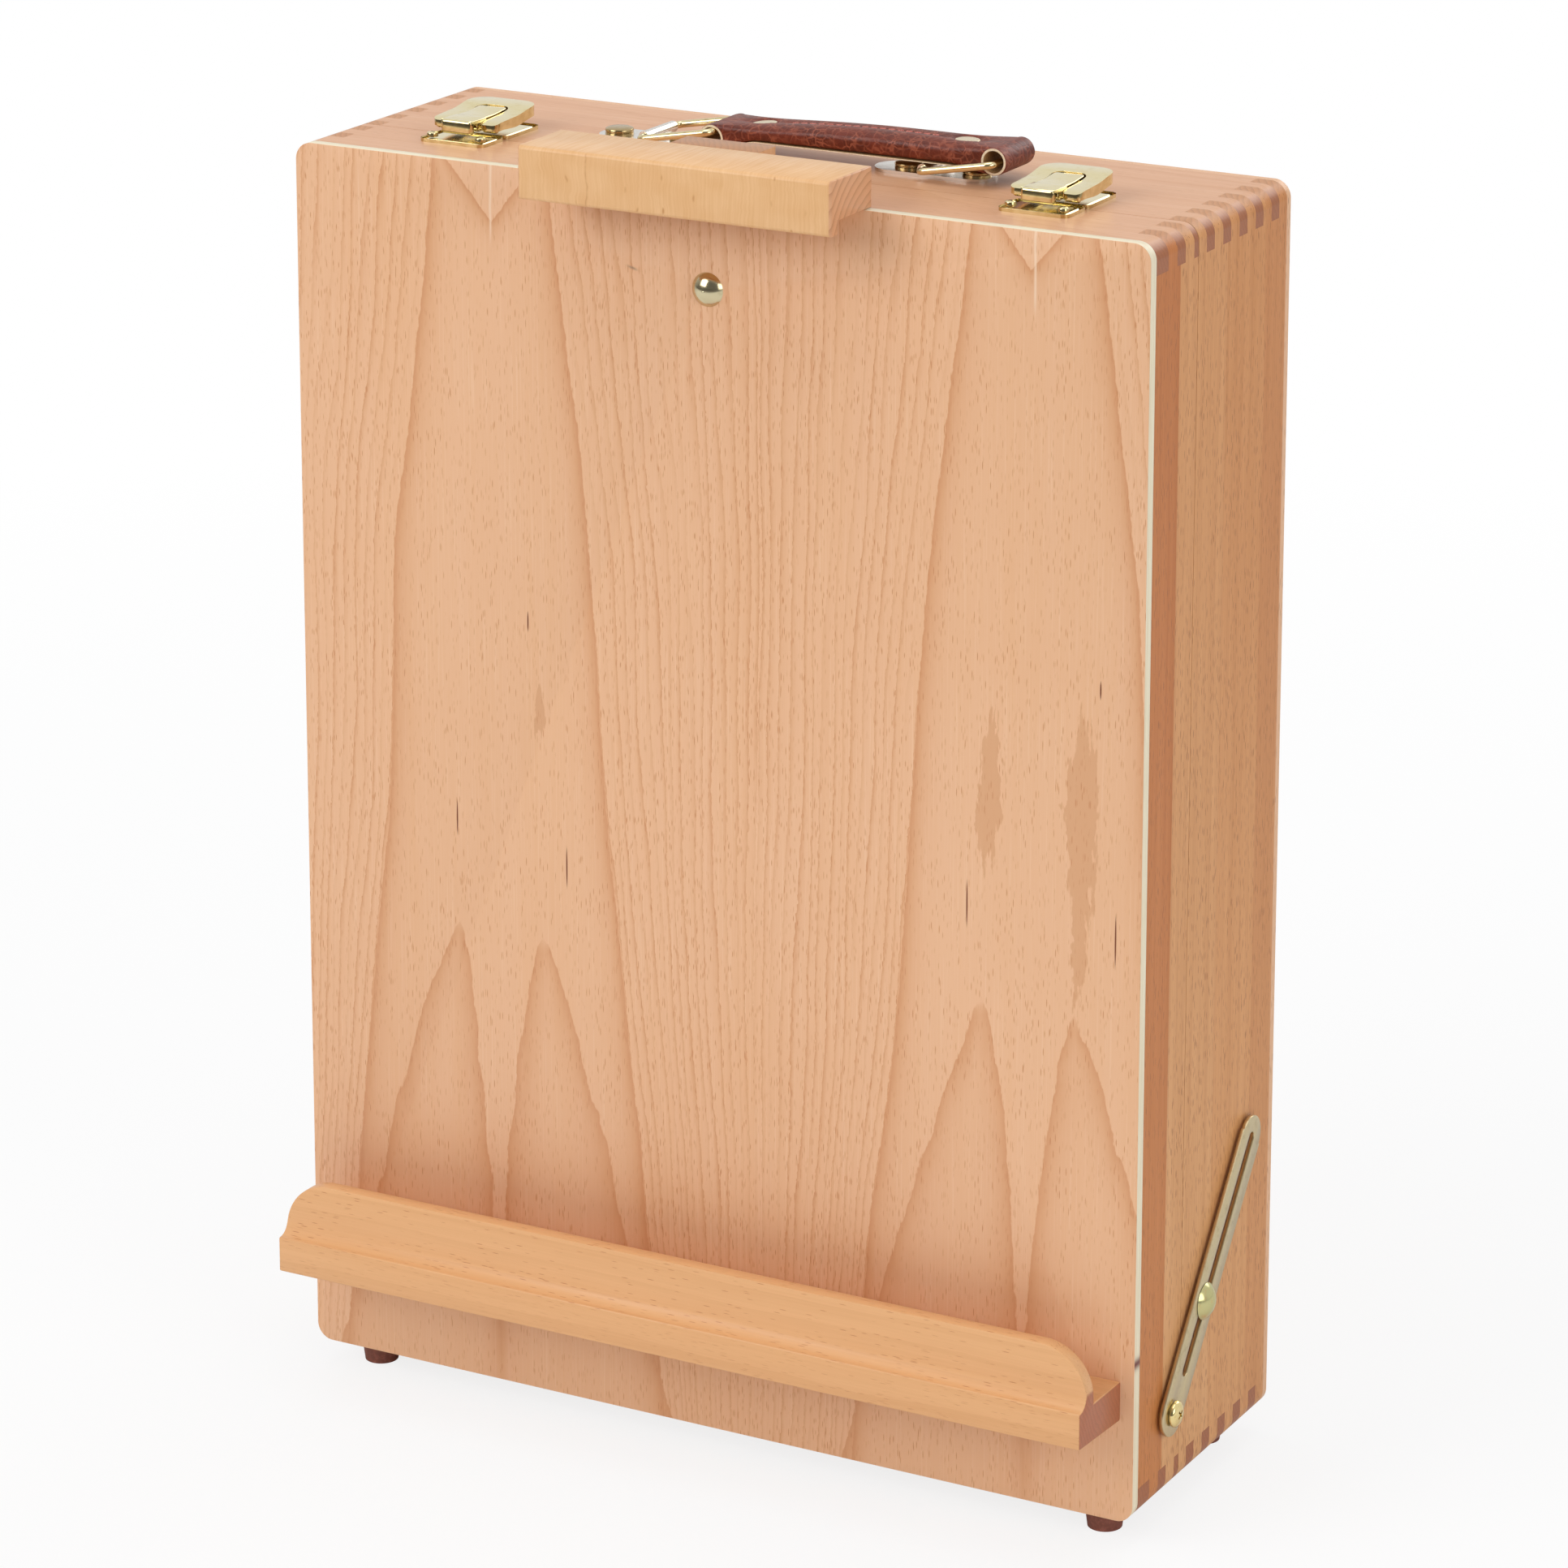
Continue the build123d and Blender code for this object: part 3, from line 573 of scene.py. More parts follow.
@dataclass(frozen=True)
class BeechFinish:
    """Lacquered beech boards or bars.

    Sizes are in millimetres. staves are glued strips: each starts at a place along across
    and has its own lightness and warmth.
    """

    name: str
    grain: Grain
    light: Colour
    dark: Colour
    fleck: Colour
    pith: tuple[float, float] = (60.0, -180.0)
    ring_pitch: float = 3.4
    ring_strength: float = 0.35
    streak_strength: float = 0.5
    fleck_amount: float = 0.8
    wander: float = 10.0
    end_span: tuple[float, float, float] | None = None
    end_colour: Colour = srgb(150, 92, 58)
    staves: tuple[tuple[float, Colour], ...] = ()
    roughness: float = 0.4
    gloss: float = 0.35
    shine: float = 0.1
    high_tint: Colour | None = None
    tint_span: tuple[float, float] = (40.0, 330.0)

    def turned(self, graph: Graph, place: Signal) -> Signal:
        """Turns the place so that the fibres run along Z."""
        x, y, z = graph.parts(place)
        return graph.vector(y, z, x) if self.grain is Grain.ALONG_X else graph.vector(x, y, z)

    def end_mask(self, along: Signal) -> Signal:
        """1 on the cut ends: beyond a distance from the middle of the board's length."""
        middle, start, stop = self.end_span
        return (along - middle).size().step(start, stop)

    def material(self) -> bpy.types.Material:
        """Builds the material.

        Returns:
            The material.
        """
        material, graph, shader = new_material(self.name)
        place = graph.place()
        local = self.turned(graph, place)
        fibre = FibreGroup().use(
            graph, Place=local, Pith_X=self.pith[0], Pith_Y=self.pith[1], Ring_Pitch=self.ring_pitch,
            Wander=self.wander, Fleck_Amount=self.fleck_amount,
        )
        tone = (fibre["Streak"] - 0.5) * self.streak_strength * 2 + fibre["Ring"] * self.ring_strength
        colour = graph.mix(graph.spread(tone, -0.25, 0.75, 0.0, 1.0), self.light, self.dark)
        if self.staves:
            colour = self.tinted(graph, colour, graph.parts(place)[1])
        # Painted shade: the colour turns darker and warmer towards the top, standing in for the floor's bounce light
        # on the lower part.
        if self.high_tint:
            rise = graph.spread(graph.parts(place)[2], *self.tint_span, 0.0, 1.0)
            colour = graph.mix(rise, colour, graph.mix(1.0, colour, self.high_tint, "MULTIPLY"))
        colour = graph.mix(fibre["Fleck"], colour, self.fleck)
        if self.end_span:
            ends = EndGrainGroup().use(graph, Place=local)
            end_colour = graph.mix(ends["Shade"], self.end_colour, tuple(part * 0.66 for part in self.end_colour))
            colour = graph.mix(self.end_mask(graph.parts(local)[2]) * 0.88, colour, end_colour)
        rough = graph.spread(fibre["Streak"], 0.2, 0.8, self.roughness - 0.05, self.roughness + 0.07)
        graph.fill(shader, Base_Color=colour, Roughness=rough, Specular_IOR_Level=self.gloss, Coat_Weight=self.shine,
                   Coat_Roughness=LACQUER, Normal=graph.bump(fibre["Fleck"] * -1.0, 0.25, FLECK_DEPTH))
        return material

    def tinted(self, graph: Graph, colour: Signal, across: Signal) -> Signal:
        """Multiplies the colour by the tint of the stave that the point is in.

        Args:
            graph: the material's graph.
            colour: the colour so far.
            across: the place across the staves.

        Returns:
            The tinted colour.
        """
        tint: Signal | Colour = self.staves[0][1]
        for start, next_tint in self.staves[1:]:
            tint = graph.mix(graph.spread(across, start - 0.15, start + 0.15, 0.0, 1.0), tint, next_tint)
        return graph.mix(1.0, colour, tint, "MULTIPLY")


@dataclass(frozen=True)
class RayBeech:
    """The pale beech of the clamp bar, cut along its rays.

    Fine upright ripples and a few dark upright marks cross its front, and bold curved rings
    show on its ends. Sizes are in millimetres.
    """

    name: str = "clamp_beech"
    light: Colour = srgb(234, 188, 137)
    warm: Colour = srgb(221, 168, 112)
    mark: Colour = srgb(196, 134, 76)
    end_light: Colour = srgb(224, 168, 126)
    end_line: Colour = srgb(184, 124, 82)
    end_start: float = 57.4
    pith: tuple[float, float] = (-26.0, 424.0)
    ring_pitch: float = 3.1
    line_place: float = -32.2
    front: float = -62.2

    def material(self) -> bpy.types.Material:
        """Builds the material.

        Returns:
            The material.
        """
        material, graph, shader = new_material(self.name)
        place = x, y, z = graph.parts(graph.place())
        across = x + graph.sway(x / 25, y / 25, z / 7) * 3.5
        ripple = graph.noise(across / 0.75, y / 20, z / 30).step(0.3, 0.7)
        broad = graph.noise(across / 16, y / 16, z / 12).step(0.3, 0.7)
        colour = graph.mix(ripple * 0.45 + broad * 0.4, self.light, self.warm)
        spots = graph.dots(graph.vector(across / 3.2, y / 5, z / 8.5), 0.2, 0.05)
        line = (across - self.line_place).hump(0.0, 0.3) * graph.noise(3.0, 5.0, z / 4).step(0.2, 0.6) * 0.6
        marks = (spots * 0.8).most(line) * y.step(self.front + 1.2, self.front + 0.4)
        colour = graph.mix(marks, colour, self.mark)
        off_y, off_z = y - self.pith[0], z - self.pith[1]
        radius = graph.math("SQRT", off_y * off_y + off_z * off_z) + graph.sway(x, y / 5, z / 5) * 1.2
        ring = (radius / self.ring_pitch).fraction() ** 3.0
        pore = graph.mottle(place, PORE, 1.0)
        end_colour = graph.mix(ring * 0.75 + (pore - 0.5) * 0.3, self.end_light, self.end_line)
        colour = graph.mix(x.size().step(self.end_start, self.end_start + 0.3), colour, end_colour)
        graph.fill(shader, Base_Color=colour, Roughness=graph.spread(ripple, 0.0, 1.0, 0.36, 0.46),
                   Normal=graph.bump(ripple, 0.2, 0.00003), Specular_IOR_Level=0.35, Coat_Weight=0.15,
                   Coat_Roughness=LACQUER)
        return material


@dataclass(frozen=True)
class FiguredVeneer:
    """The flat-sawn veneer of the front panel.

    Two leaves from the same log lie side by side, so their tall arches repeat across the
    panel. Each arch has two inner peaks low down, and straight close lines lie between the
    arches. Sizes are in millimetres. islands and slit_places give X, Z and reach of each mark.
    """

    name: str = "front_veneer"
    light: Colour = srgb(232, 184, 146)
    warm: Colour = srgb(229, 178, 135)
    pale: Colour = srgb(242, 204, 170)
    line: Colour = srgb(206, 142, 94)
    patch: Colour = srgb(214, 160, 117)
    fleck: Colour = srgb(196, 130, 80)
    edge: Colour = srgb(240, 229, 200)
    edge_line: Colour = srgb(214, 190, 146)
    edge_knot: Colour = srgb(112, 50, 38)
    slit: Colour = srgb(120, 62, 34)
    seam: Colour = srgb(244, 214, 184)
    scratch: Colour = srgb(150, 120, 96)
    leaf_centre: float = -83.0
    leaf_width: float = 202.6
    leaf_rise: float = 6.5
    lines: float = 15.0
    arch_foot: float = 61.5
    arch_slope: float = 0.1
    peak_height: float = 176.0
    peak_side: float = 17.0
    valley_height: float = 425.0
    valley_spread: float = 0.8
    islands: tuple[tuple[float, float, float, float], ...] = (
        (105.6, 256.0, 4.2, 27.0), (137.6, 248.0, 6.5, 36.0), (136.8, 208.0, 2.6, 20.0), (-65.6, 257.0, 2.4, 9.0),
    )
    slit_places: tuple[tuple[float, float, float], ...] = (
        (97.0, 216.0, 9.0), (151.0, 212.0, 10.0), (-99.0, 214.0, 7.0), (-55.5, 203.0, 8.0), (144.5, 296.0, 3.5),
        (-70.0, 288.0, 4.0),
    )
    slit_width: float = 0.33
    seam_width: float = 0.45
    scratch_place: tuple[float, float] = (-28.4, 415.5)
    knot_place: tuple[float, float] = (158.0, 66.4)
    front: float = -38.45
    thickness: float = 4.3
    roughness: float = 0.4

    def arches(self, graph: Graph, place: Signal) -> dict[str, Signal]:
        """Works out where the rings show.

        Args:
            graph: the material's graph.
            place: the point in millimetres.

        Returns:
            Ring darkness, patch share and straight-line share by name.
        """
        x, _, z = graph.parts(place)
        waver = graph.sway(x / 55, 3.0, z / 130, 2.0) * 9
        jag = graph.sway(x / 1.3, 7.0, z / 4.5, 2.0, 0.65) * 1.7
        across = x + waver + jag
        leaf = graph.math("WRAP", across - self.leaf_centre, self.leaf_width / 2, -self.leaf_width / 2)
        right = (x - (self.leaf_centre + self.leaf_width / 2)).step(-0.2, 0.2)
        high = z - right * self.leaf_rise
        far = leaf.size()
        swell = high.hump(330, 65) * 4.5
        arch = self.arch_foot - (high - 40) * self.arch_slope + swell
        turn = (far - arch) / (self.leaf_width / 2 - arch) * self.lines
        outside = turn.step(-0.02, 0.02)
        turn = turn + graph.sway(far / 9, 4.0, z / 300) * 2.2
        part = turn.fraction()
        weight = graph.noise((turn - part) * 3.7, 0.5, z / 200, 1.0).step(0.3, 0.62)
        close = part ** 5.0 * outside * (weight * 0.8 + 0.2)
        valley = far - (high - self.valley_height) * self.valley_spread
        inside = (arch - far).least(valley)
        main = self.rim(graph, inside, 3.6)
        below = self.peak_height - high + graph.noise(x / 6, 2.0, z / 30) * 10 - 5
        middle = self.peak_side + below * 0.09
        wide = below.most(0.0) ** 0.75 * 0.75 + graph.sway(x / 9, 6.0, z / 22, 2.0) * 5
        peak = wide - (far - middle).size()
        inner = self.rim(graph, peak, 5.0) * below.step(-2, 6)
        ring = (close * 0.8).most(main * 0.85).most(inner * 0.75)
        return {"ring": ring, "patch": self.patches(graph, across, z), "close": outside}

    def rim(self, graph: Graph, depth: Signal, width: float) -> Signal:
        """Dark just inside a ring's edge, fading over width, and nothing outside it."""
        return graph.math("EXPONENT", depth.most(0.0) / -width) * depth.step(-0.25, 0.25)

    def patches(self, graph: Graph, x: Signal, z: Signal) -> Signal:
        """Long islands where the cut only grazes a ring.

        Args:
            graph: the material's graph.
            x: X of the point.
            z: Z of the point.

        Returns:
            The islands' share.
        """
        islands = []
        for centre, height, half, tall in self.islands:
            off_x = (x - centre) / half + graph.sway(x / 2.0, centre, z / 9.0) * 1.9
            off_z = (z - height) / tall + graph.sway(x / 1.1, height, z / 30.0, 1.0) * 1.5
            islands.append((off_x * off_x + off_z * off_z).step(1.05, 0.8))
        return reduce(Signal.most, islands)

    def slits(self, x: Signal, z: Signal) -> Signal:
        """A few thin dark slits along the fibres.

        Args:
            x: X of the point.
            z: Z of the point.

        Returns:
            The slits' share.
        """
        marks = []
        for centre, height, tall in self.slit_places:
            off_x = (x - centre) / self.slit_width
            off_z = (z - height) / tall
            marks.append((off_x * off_x + off_z * off_z).step(1.1, 0.3))
        return reduce(Signal.most, marks)

    def valley_line(self, graph: Graph, x: Signal, z: Signal) -> Signal:
        """The pale line down the middle of each arch, from the top edge to the valley.

        Args:
            graph: the material's graph.
            x: X of the point.
            z: Z of the point.

        Returns:
            The lines' share.
        """
        waver = graph.sway(x / 30, 8.0, z / 12, 1.0) * 1.6
        left = (x + waver - self.leaf_centre).hump(0.0, self.seam_width)
        right = (x + waver - (self.leaf_centre + self.leaf_width)).hump(0.0, self.seam_width)
        return (left + right) * z.step(self.valley_height - 10, self.valley_height - 1)

    def blemish(self, x: Signal, z: Signal) -> Signal:
        """A small scratched mark left of the bolt's head."""
        off = x - self.scratch_place[0]
        bend = (z - self.scratch_place[1]) + off * 0.25
        return bend.hump(0.0, 0.45) * off.hump(0.0, 1.6) * 0.8

    def knot(self, x: Signal, z: Signal) -> Signal:
        """A small dark knot in the right edge of the plies."""
        return (z - self.knot_place[1]).hump(0.0, 1.9) * x.step(self.knot_place[0], self.knot_place[0] + 1.0)

    def material(self) -> bpy.types.Material:
        """Builds the material.

        Returns:
            The material.
        """
        material, graph, shader = new_material(self.name)
        place = graph.place()
        x, y, z = graph.parts(place)
        figure = self.arches(graph, place)
        fibre = FibreGroup().use(graph, Place=place, Fleck_Amount=1.0, Wander=4.0)
        streak = fibre["Streak"]
        broad = graph.noise(x / 70, 5.0, z / 160, 1.0)
        colour = graph.mix(graph.spread(streak * 0.6 + broad * 0.4, 0.3, 0.7, 0.0, 1.0), self.light, self.warm)
        inside = graph.mix(fibre["Fleck"] * 0.7, colour, self.fleck)
        thread = graph.noise(x / 0.55, 9.0, z / 50).step(0.52, 0.75)
        colour = graph.mix(thread * 0.35, colour, self.pale)
        colour = graph.mix(figure["patch"] * 0.8, colour, self.patch)
        colour = graph.mix(figure["ring"], colour, self.line)
        more = graph.dots(graph.vector(x / 0.75, 4.0, z / 5.5), 0.26, 0.1) * (figure["close"] * 0.5 + 0.5)
        flecks = (fibre["Fleck"] * 0.85).most(more * 0.85)
        colour = graph.mix(flecks, colour, self.fleck)
        colour = graph.mix(self.slits(x, z), colour, self.slit)
        colour = graph.mix(self.valley_line(graph, x, z) * 0.7, colour, self.seam)
        colour = graph.mix(self.blemish(x, z), colour, self.scratch)
        ply = graph.noise(x / 30, y / 0.5, z / 30).step(0.35, 0.7)
        edge = graph.mix(ply * 0.35, self.edge, self.edge_line)
        edge = graph.mix(self.knot(x, z), edge, self.edge_knot)
        depth = y - self.front
        colour = graph.mix(depth.step(0.12, 0.3), colour, edge)
        colour = graph.mix(depth.step(self.thickness - 0.12, self.thickness - 0.03), colour, inside)
        rough = graph.spread(streak, 0.2, 0.8, self.roughness - 0.05, self.roughness + 0.06)
        graph.fill(shader, Base_Color=colour, Roughness=rough, Normal=graph.bump(flecks * -1.0, 0.25, FLECK_DEPTH),
                   Specular_IOR_Level=0.35, Coat_Weight=0.1, Coat_Roughness=0.22)
        return material


@dataclass(frozen=True)
class PlateFinish:
    """Plated or bare metal with light marks of use. Its upright faces can get a painted dark reflection colour."""

    name: str
    colour: Colour
    worn: Colour
    roughness: float = 0.18
    mark: float = 0.12
    skirt: Colour | None = None

    def material(self) -> bpy.types.Material:
        """Builds the material.

        Returns:
            The material.
        """
        material, graph, shader = new_material(self.name)
        rub = RubGroup().use(graph, Place=graph.place())
        shade = graph.mix(rub["Smudge"].step(0.5, 0.8), self.colour, self.worn)
        shade = graph.mix(rub["Speck"] * 0.25, shade, tuple(part * 0.4 for part in self.worn))
        # Painted reflection: upright faces shift towards a duller, darker colour that stands in for the dark
        # surroundings they mirror.
        if self.skirt:
            facing = graph.add("ShaderNodeTexCoord")
            upright = graph.parts(Signal(graph, facing.outputs["Normal"]))[2].size().step(0.7, 0.2)
            shade = graph.mix(upright * (rub["Smudge"].step(0.75, 0.35) * 0.5 + 0.5), shade, self.skirt)
        rough = rub["Smudge"] * self.mark + rub["Hairline"] * self.mark * 0.6 + (self.roughness - self.mark * 0.8)
        graph.fill(shader, Base_Color=shade, Metallic=1.0, Roughness=rough,
                   Normal=graph.bump(rub["Smudge"] + rub["Hairline"] * 0.3, 0.12, 0.00006))
        return material


@dataclass(frozen=True)
class RubberFinish:
    """Matt moulded rubber with a little dust."""

    name: str
    colour: Colour

    def material(self) -> bpy.types.Material:
        """Builds the material.

        Returns:
            The material.
        """
        material, graph, shader = new_material(self.name)
        place = graph.parts(graph.place())
        dust = graph.mottle(place, 1.5, 4.0, 0.6)
        pale = tuple(min(1.0, part * 1.5 + 0.015) for part in self.colour)
        graph.fill(shader, Base_Color=graph.mix(dust.step(0.4, 0.8), self.colour, pale), Roughness=dust * 0.25 + 0.4,
                   Normal=graph.bump(graph.mottle(place, 0.4), 0.2, 0.00008))
        return material


@dataclass(frozen=True)
class LeatherFinish:
    """Reddish-brown leather, crackled into soft cells with paler veins."""

    name: str = "crackle_leather"
    deep: Colour = srgb(86, 28, 12)
    body: Colour = srgb(112, 41, 20)
    vein: Colour = srgb(156, 84, 60)
    cell: float = 2.9
    finer: float = 1.9

    def material(self) -> bpy.types.Material:
        """Builds the material.

        Returns:
            The material.
        """
        material, graph, shader = new_material(self.name)
        place = x, y, z = graph.parts(graph.place())
        stir = graph.mottle(place, 2.6, 1.0) * 1.6
        spot = graph.vector(x + stir, y + stir, z - stir)
        gap = graph.cracks(spot, 1 / self.cell)
        small = graph.cracks(spot, self.finer / self.cell)
        vein = gap.step(0.13, 0.0) * 0.8 + small.step(0.1, 0.0) * 0.3
        broad = graph.mottle(place, 9.0, 3.0)
        colour = graph.mix(broad.step(0.3, 0.7), self.deep, self.body)
        fade = graph.mottle(place, 5.0, 1.0).step(0.35, 0.65)
        colour = graph.mix(vein * (fade * 0.6 + 0.3), colour, self.vein)
        pore = graph.mottle(place, PORE, 1.0)
        height = gap.step(0.0, 0.2) * 0.8 + small.step(0.0, 0.14) * 0.12 + pore * 0.12
        graph.fill(shader, Base_Color=colour, Roughness=graph.spread(broad, 0.2, 0.8, 0.36, 0.48),
                   Normal=graph.bump(height, 0.3, 0.0002), Specular_IOR_Level=0.35)
        return material


@dataclass(frozen=True)
class PlainFinish:
    """A mottled dull surface, such as a cut edge, suede or thread."""

    name: str
    light: Colour
    dark: Colour
    roughness: float
    grain: float

    def material(self) -> bpy.types.Material:
        """Builds the material.

        Returns:
            The material.
        """
        material, graph, shader = new_material(self.name)
        mottle = graph.mottle(graph.parts(graph.place()), self.grain, 3.0, 0.6)
        graph.fill(shader, Base_Color=graph.mix(mottle.step(0.35, 0.7), self.light, self.dark),
                   Roughness=self.roughness, Normal=graph.bump(mottle, 0.5, 0.0001))
        return material


# The finishes of this easel

SIDE_LIGHT = srgb(222, 167, 114)
SIDE_DARK = srgb(202, 144, 92)
SIDE_FLECK = srgb(156, 96, 52)
# Painted shade for the upper part of the side boards.
SIDE_HIGH_PAINTED_SHADE: Colour = (0.94, 0.85, 0.76)
PINK_STAVE: Colour = (0.83, 0.61, 0.44)
LIGHT_STAVE: Colour = (1.0, 1.0, 1.0)
MID_STAVE: Colour = (0.97, 0.92, 0.86)
REAR_STAVE: Colour = (0.905, 0.80, 0.71)
CASE_STAVES = ((-40.0, PINK_STAVE), (-16.1, LIGHT_STAVE), (20.0, MID_STAVE), (50.0, REAR_STAVE))


class Finish(Enum):
    """Every finish on the object, each built once."""

    VENEER = FiguredVeneer()
    SIDE_BOARD = BeechFinish(
        "side_boards", Grain.ALONG_Z, SIDE_LIGHT, SIDE_DARK, SIDE_FLECK, pith=(0.0, -240.0),
        ring_pitch=5.3, ring_strength=0.3, streak_strength=1.0, fleck_amount=1.2,
        end_span=(227.2, 213.6, 217.2), end_colour=srgb(206, 150, 108), staves=CASE_STAVES, gloss=0.2, shine=0.0,
        high_tint=SIDE_HIGH_PAINTED_SHADE,
    )
    TOP_BOARD = BeechFinish(
        "top_and_bottom_boards", Grain.ALONG_X, srgb(222, 172, 134), srgb(204, 146, 106), SIDE_FLECK,
        pith=(-20.0, 560.0), ring_pitch=7.0, ring_strength=0.3, fleck_amount=0.35, wander=22.0,
        end_span=(0.0, 155.5, 159.6), end_colour=srgb(164, 88, 40), gloss=0.25, shine=0.15,
    )
    LEDGE = BeechFinish(
        "ledge_beech", Grain.ALONG_X, srgb(231, 178, 126), srgb(212, 154, 102), srgb(186, 120, 72),
        pith=(-120.0, 20.0), ring_pitch=5.0, ring_strength=0.25, fleck_amount=0.8,
        end_span=(0.0, 154.9, 155.15), end_colour=srgb(178, 100, 70),
    )
    CLAMP = RayBeech()
    MAST = BeechFinish(
        "mast_beech", Grain.ALONG_Z, srgb(232, 182, 134), srgb(212, 156, 108), SIDE_FLECK,
        end_span=(270.0, 187.9, 188.1), end_colour=srgb(186, 130, 88),
    )
    INNER = BeechFinish(
        "inner_boards", Grain.ALONG_Z, srgb(236, 198, 150), srgb(220, 176, 126), srgb(190, 140, 92),
        fleck_amount=0.3, roughness=0.5,
    )
    DIVIDER = BeechFinish(
        "divider_boards", Grain.ALONG_X, srgb(236, 202, 158), srgb(222, 182, 134), srgb(190, 140, 92),
        fleck_amount=0.3, roughness=0.55,
    )
    BACK = BeechFinish(
        "back_veneer", Grain.ALONG_Z, srgb(230, 182, 142), srgb(214, 162, 118), SIDE_FLECK,
        pith=(20.0, 190.0), ring_pitch=7.0, ring_strength=0.4,
    )
    # The latch's third colour is a painted dark reflection on its upright faces.
    LATCH = PlateFinish("latch_plate", (0.90, 0.79, 0.47), (0.84, 0.70, 0.36), roughness=0.12, mark=0.06,
                        skirt=(0.60, 0.47, 0.22))
    BRACKET = PlateFinish("bracket_plate", (0.80, 0.77, 0.72), (0.64, 0.60, 0.52), roughness=0.22)
    WIRE = PlateFinish("ring_wire", (0.80, 0.68, 0.40), (0.62, 0.48, 0.24), roughness=0.2)
    SCREW = PlateFinish("round_screws", (0.50, 0.37, 0.18), (0.30, 0.20, 0.08), roughness=0.2)
    STAY = PlateFinish("stay_plate", (0.64, 0.53, 0.32), (0.52, 0.42, 0.24), roughness=0.34, mark=0.16)
    BOLT = PlateFinish("bolt_heads", (0.66, 0.57, 0.36), (0.46, 0.38, 0.2), roughness=0.18, mark=0.16)
    STAY_BOLT = PlateFinish("stay_bolt_heads", (0.60, 0.56, 0.27), (0.70, 0.40, 0.16), roughness=0.2, mark=0.12)
    PIVOT = PlateFinish("pivot_screw", (0.88, 0.72, 0.34), (0.74, 0.56, 0.22), roughness=0.14, mark=0.06)
    RIVET = PlateFinish("flush_rivets", (0.84, 0.72, 0.52), (0.70, 0.57, 0.38), roughness=0.34, mark=0.1)
    FOOT = RubberFinish("foot_rubber", srgb(125, 70, 55))
    LEATHER = LeatherFinish()
    CUT_EDGE = PlainFinish("cut_edge", srgb(236, 222, 196), srgb(214, 190, 150), 0.7, 0.5)
    SUEDE = PlainFinish("suede", srgb(198, 158, 106), srgb(150, 108, 62), 0.9, 0.4)
    THREAD = PlainFinish("seam_thread", srgb(206, 128, 116), srgb(168, 84, 72), 0.7, 0.35)

    @property
    def made(self) -> bpy.types.Material:
        """The finish's material."""
        ready = bpy.data.materials.get(self.value.name)
        return ready or self.value.material()


def dress(piece: bpy.types.Object, finish: Finish) -> None:
    """Gives a piece one finish all over.

    Args:
        piece: the piece.
        finish: its finish.
    """
    material = finish.made
    if piece.material_slots:
        for part in piece.material_slots:
            part.material = material
    else:
        piece.data.materials.append(material)


# Meshes


def add_object(name: str, data: bpy.types.ID | None) -> bpy.types.Object:
    """Puts a new object with its data into the scene."""
    item = bpy.data.objects.new(name, data)
    bpy.context.scene.collection.objects.link(item)
    return item


def shade_smooth(data: bpy.types.Mesh, angle: float = 35.0) -> None:
    """Shades a mesh smooth, but for edges sharper than angle degrees."""
    data.polygons.foreach_set("use_smooth", [True] * len(data.polygons))
    data.set_sharp_from_angle(angle=math.radians(angle))


def eased(value: float, low: float, high: float) -> float:
    """A smooth step from 0 at low to 1 at high."""
    share = min(1.0, max(0.0, (value - low) / (high - low)))
    return share * share * (3 - 2 * share)


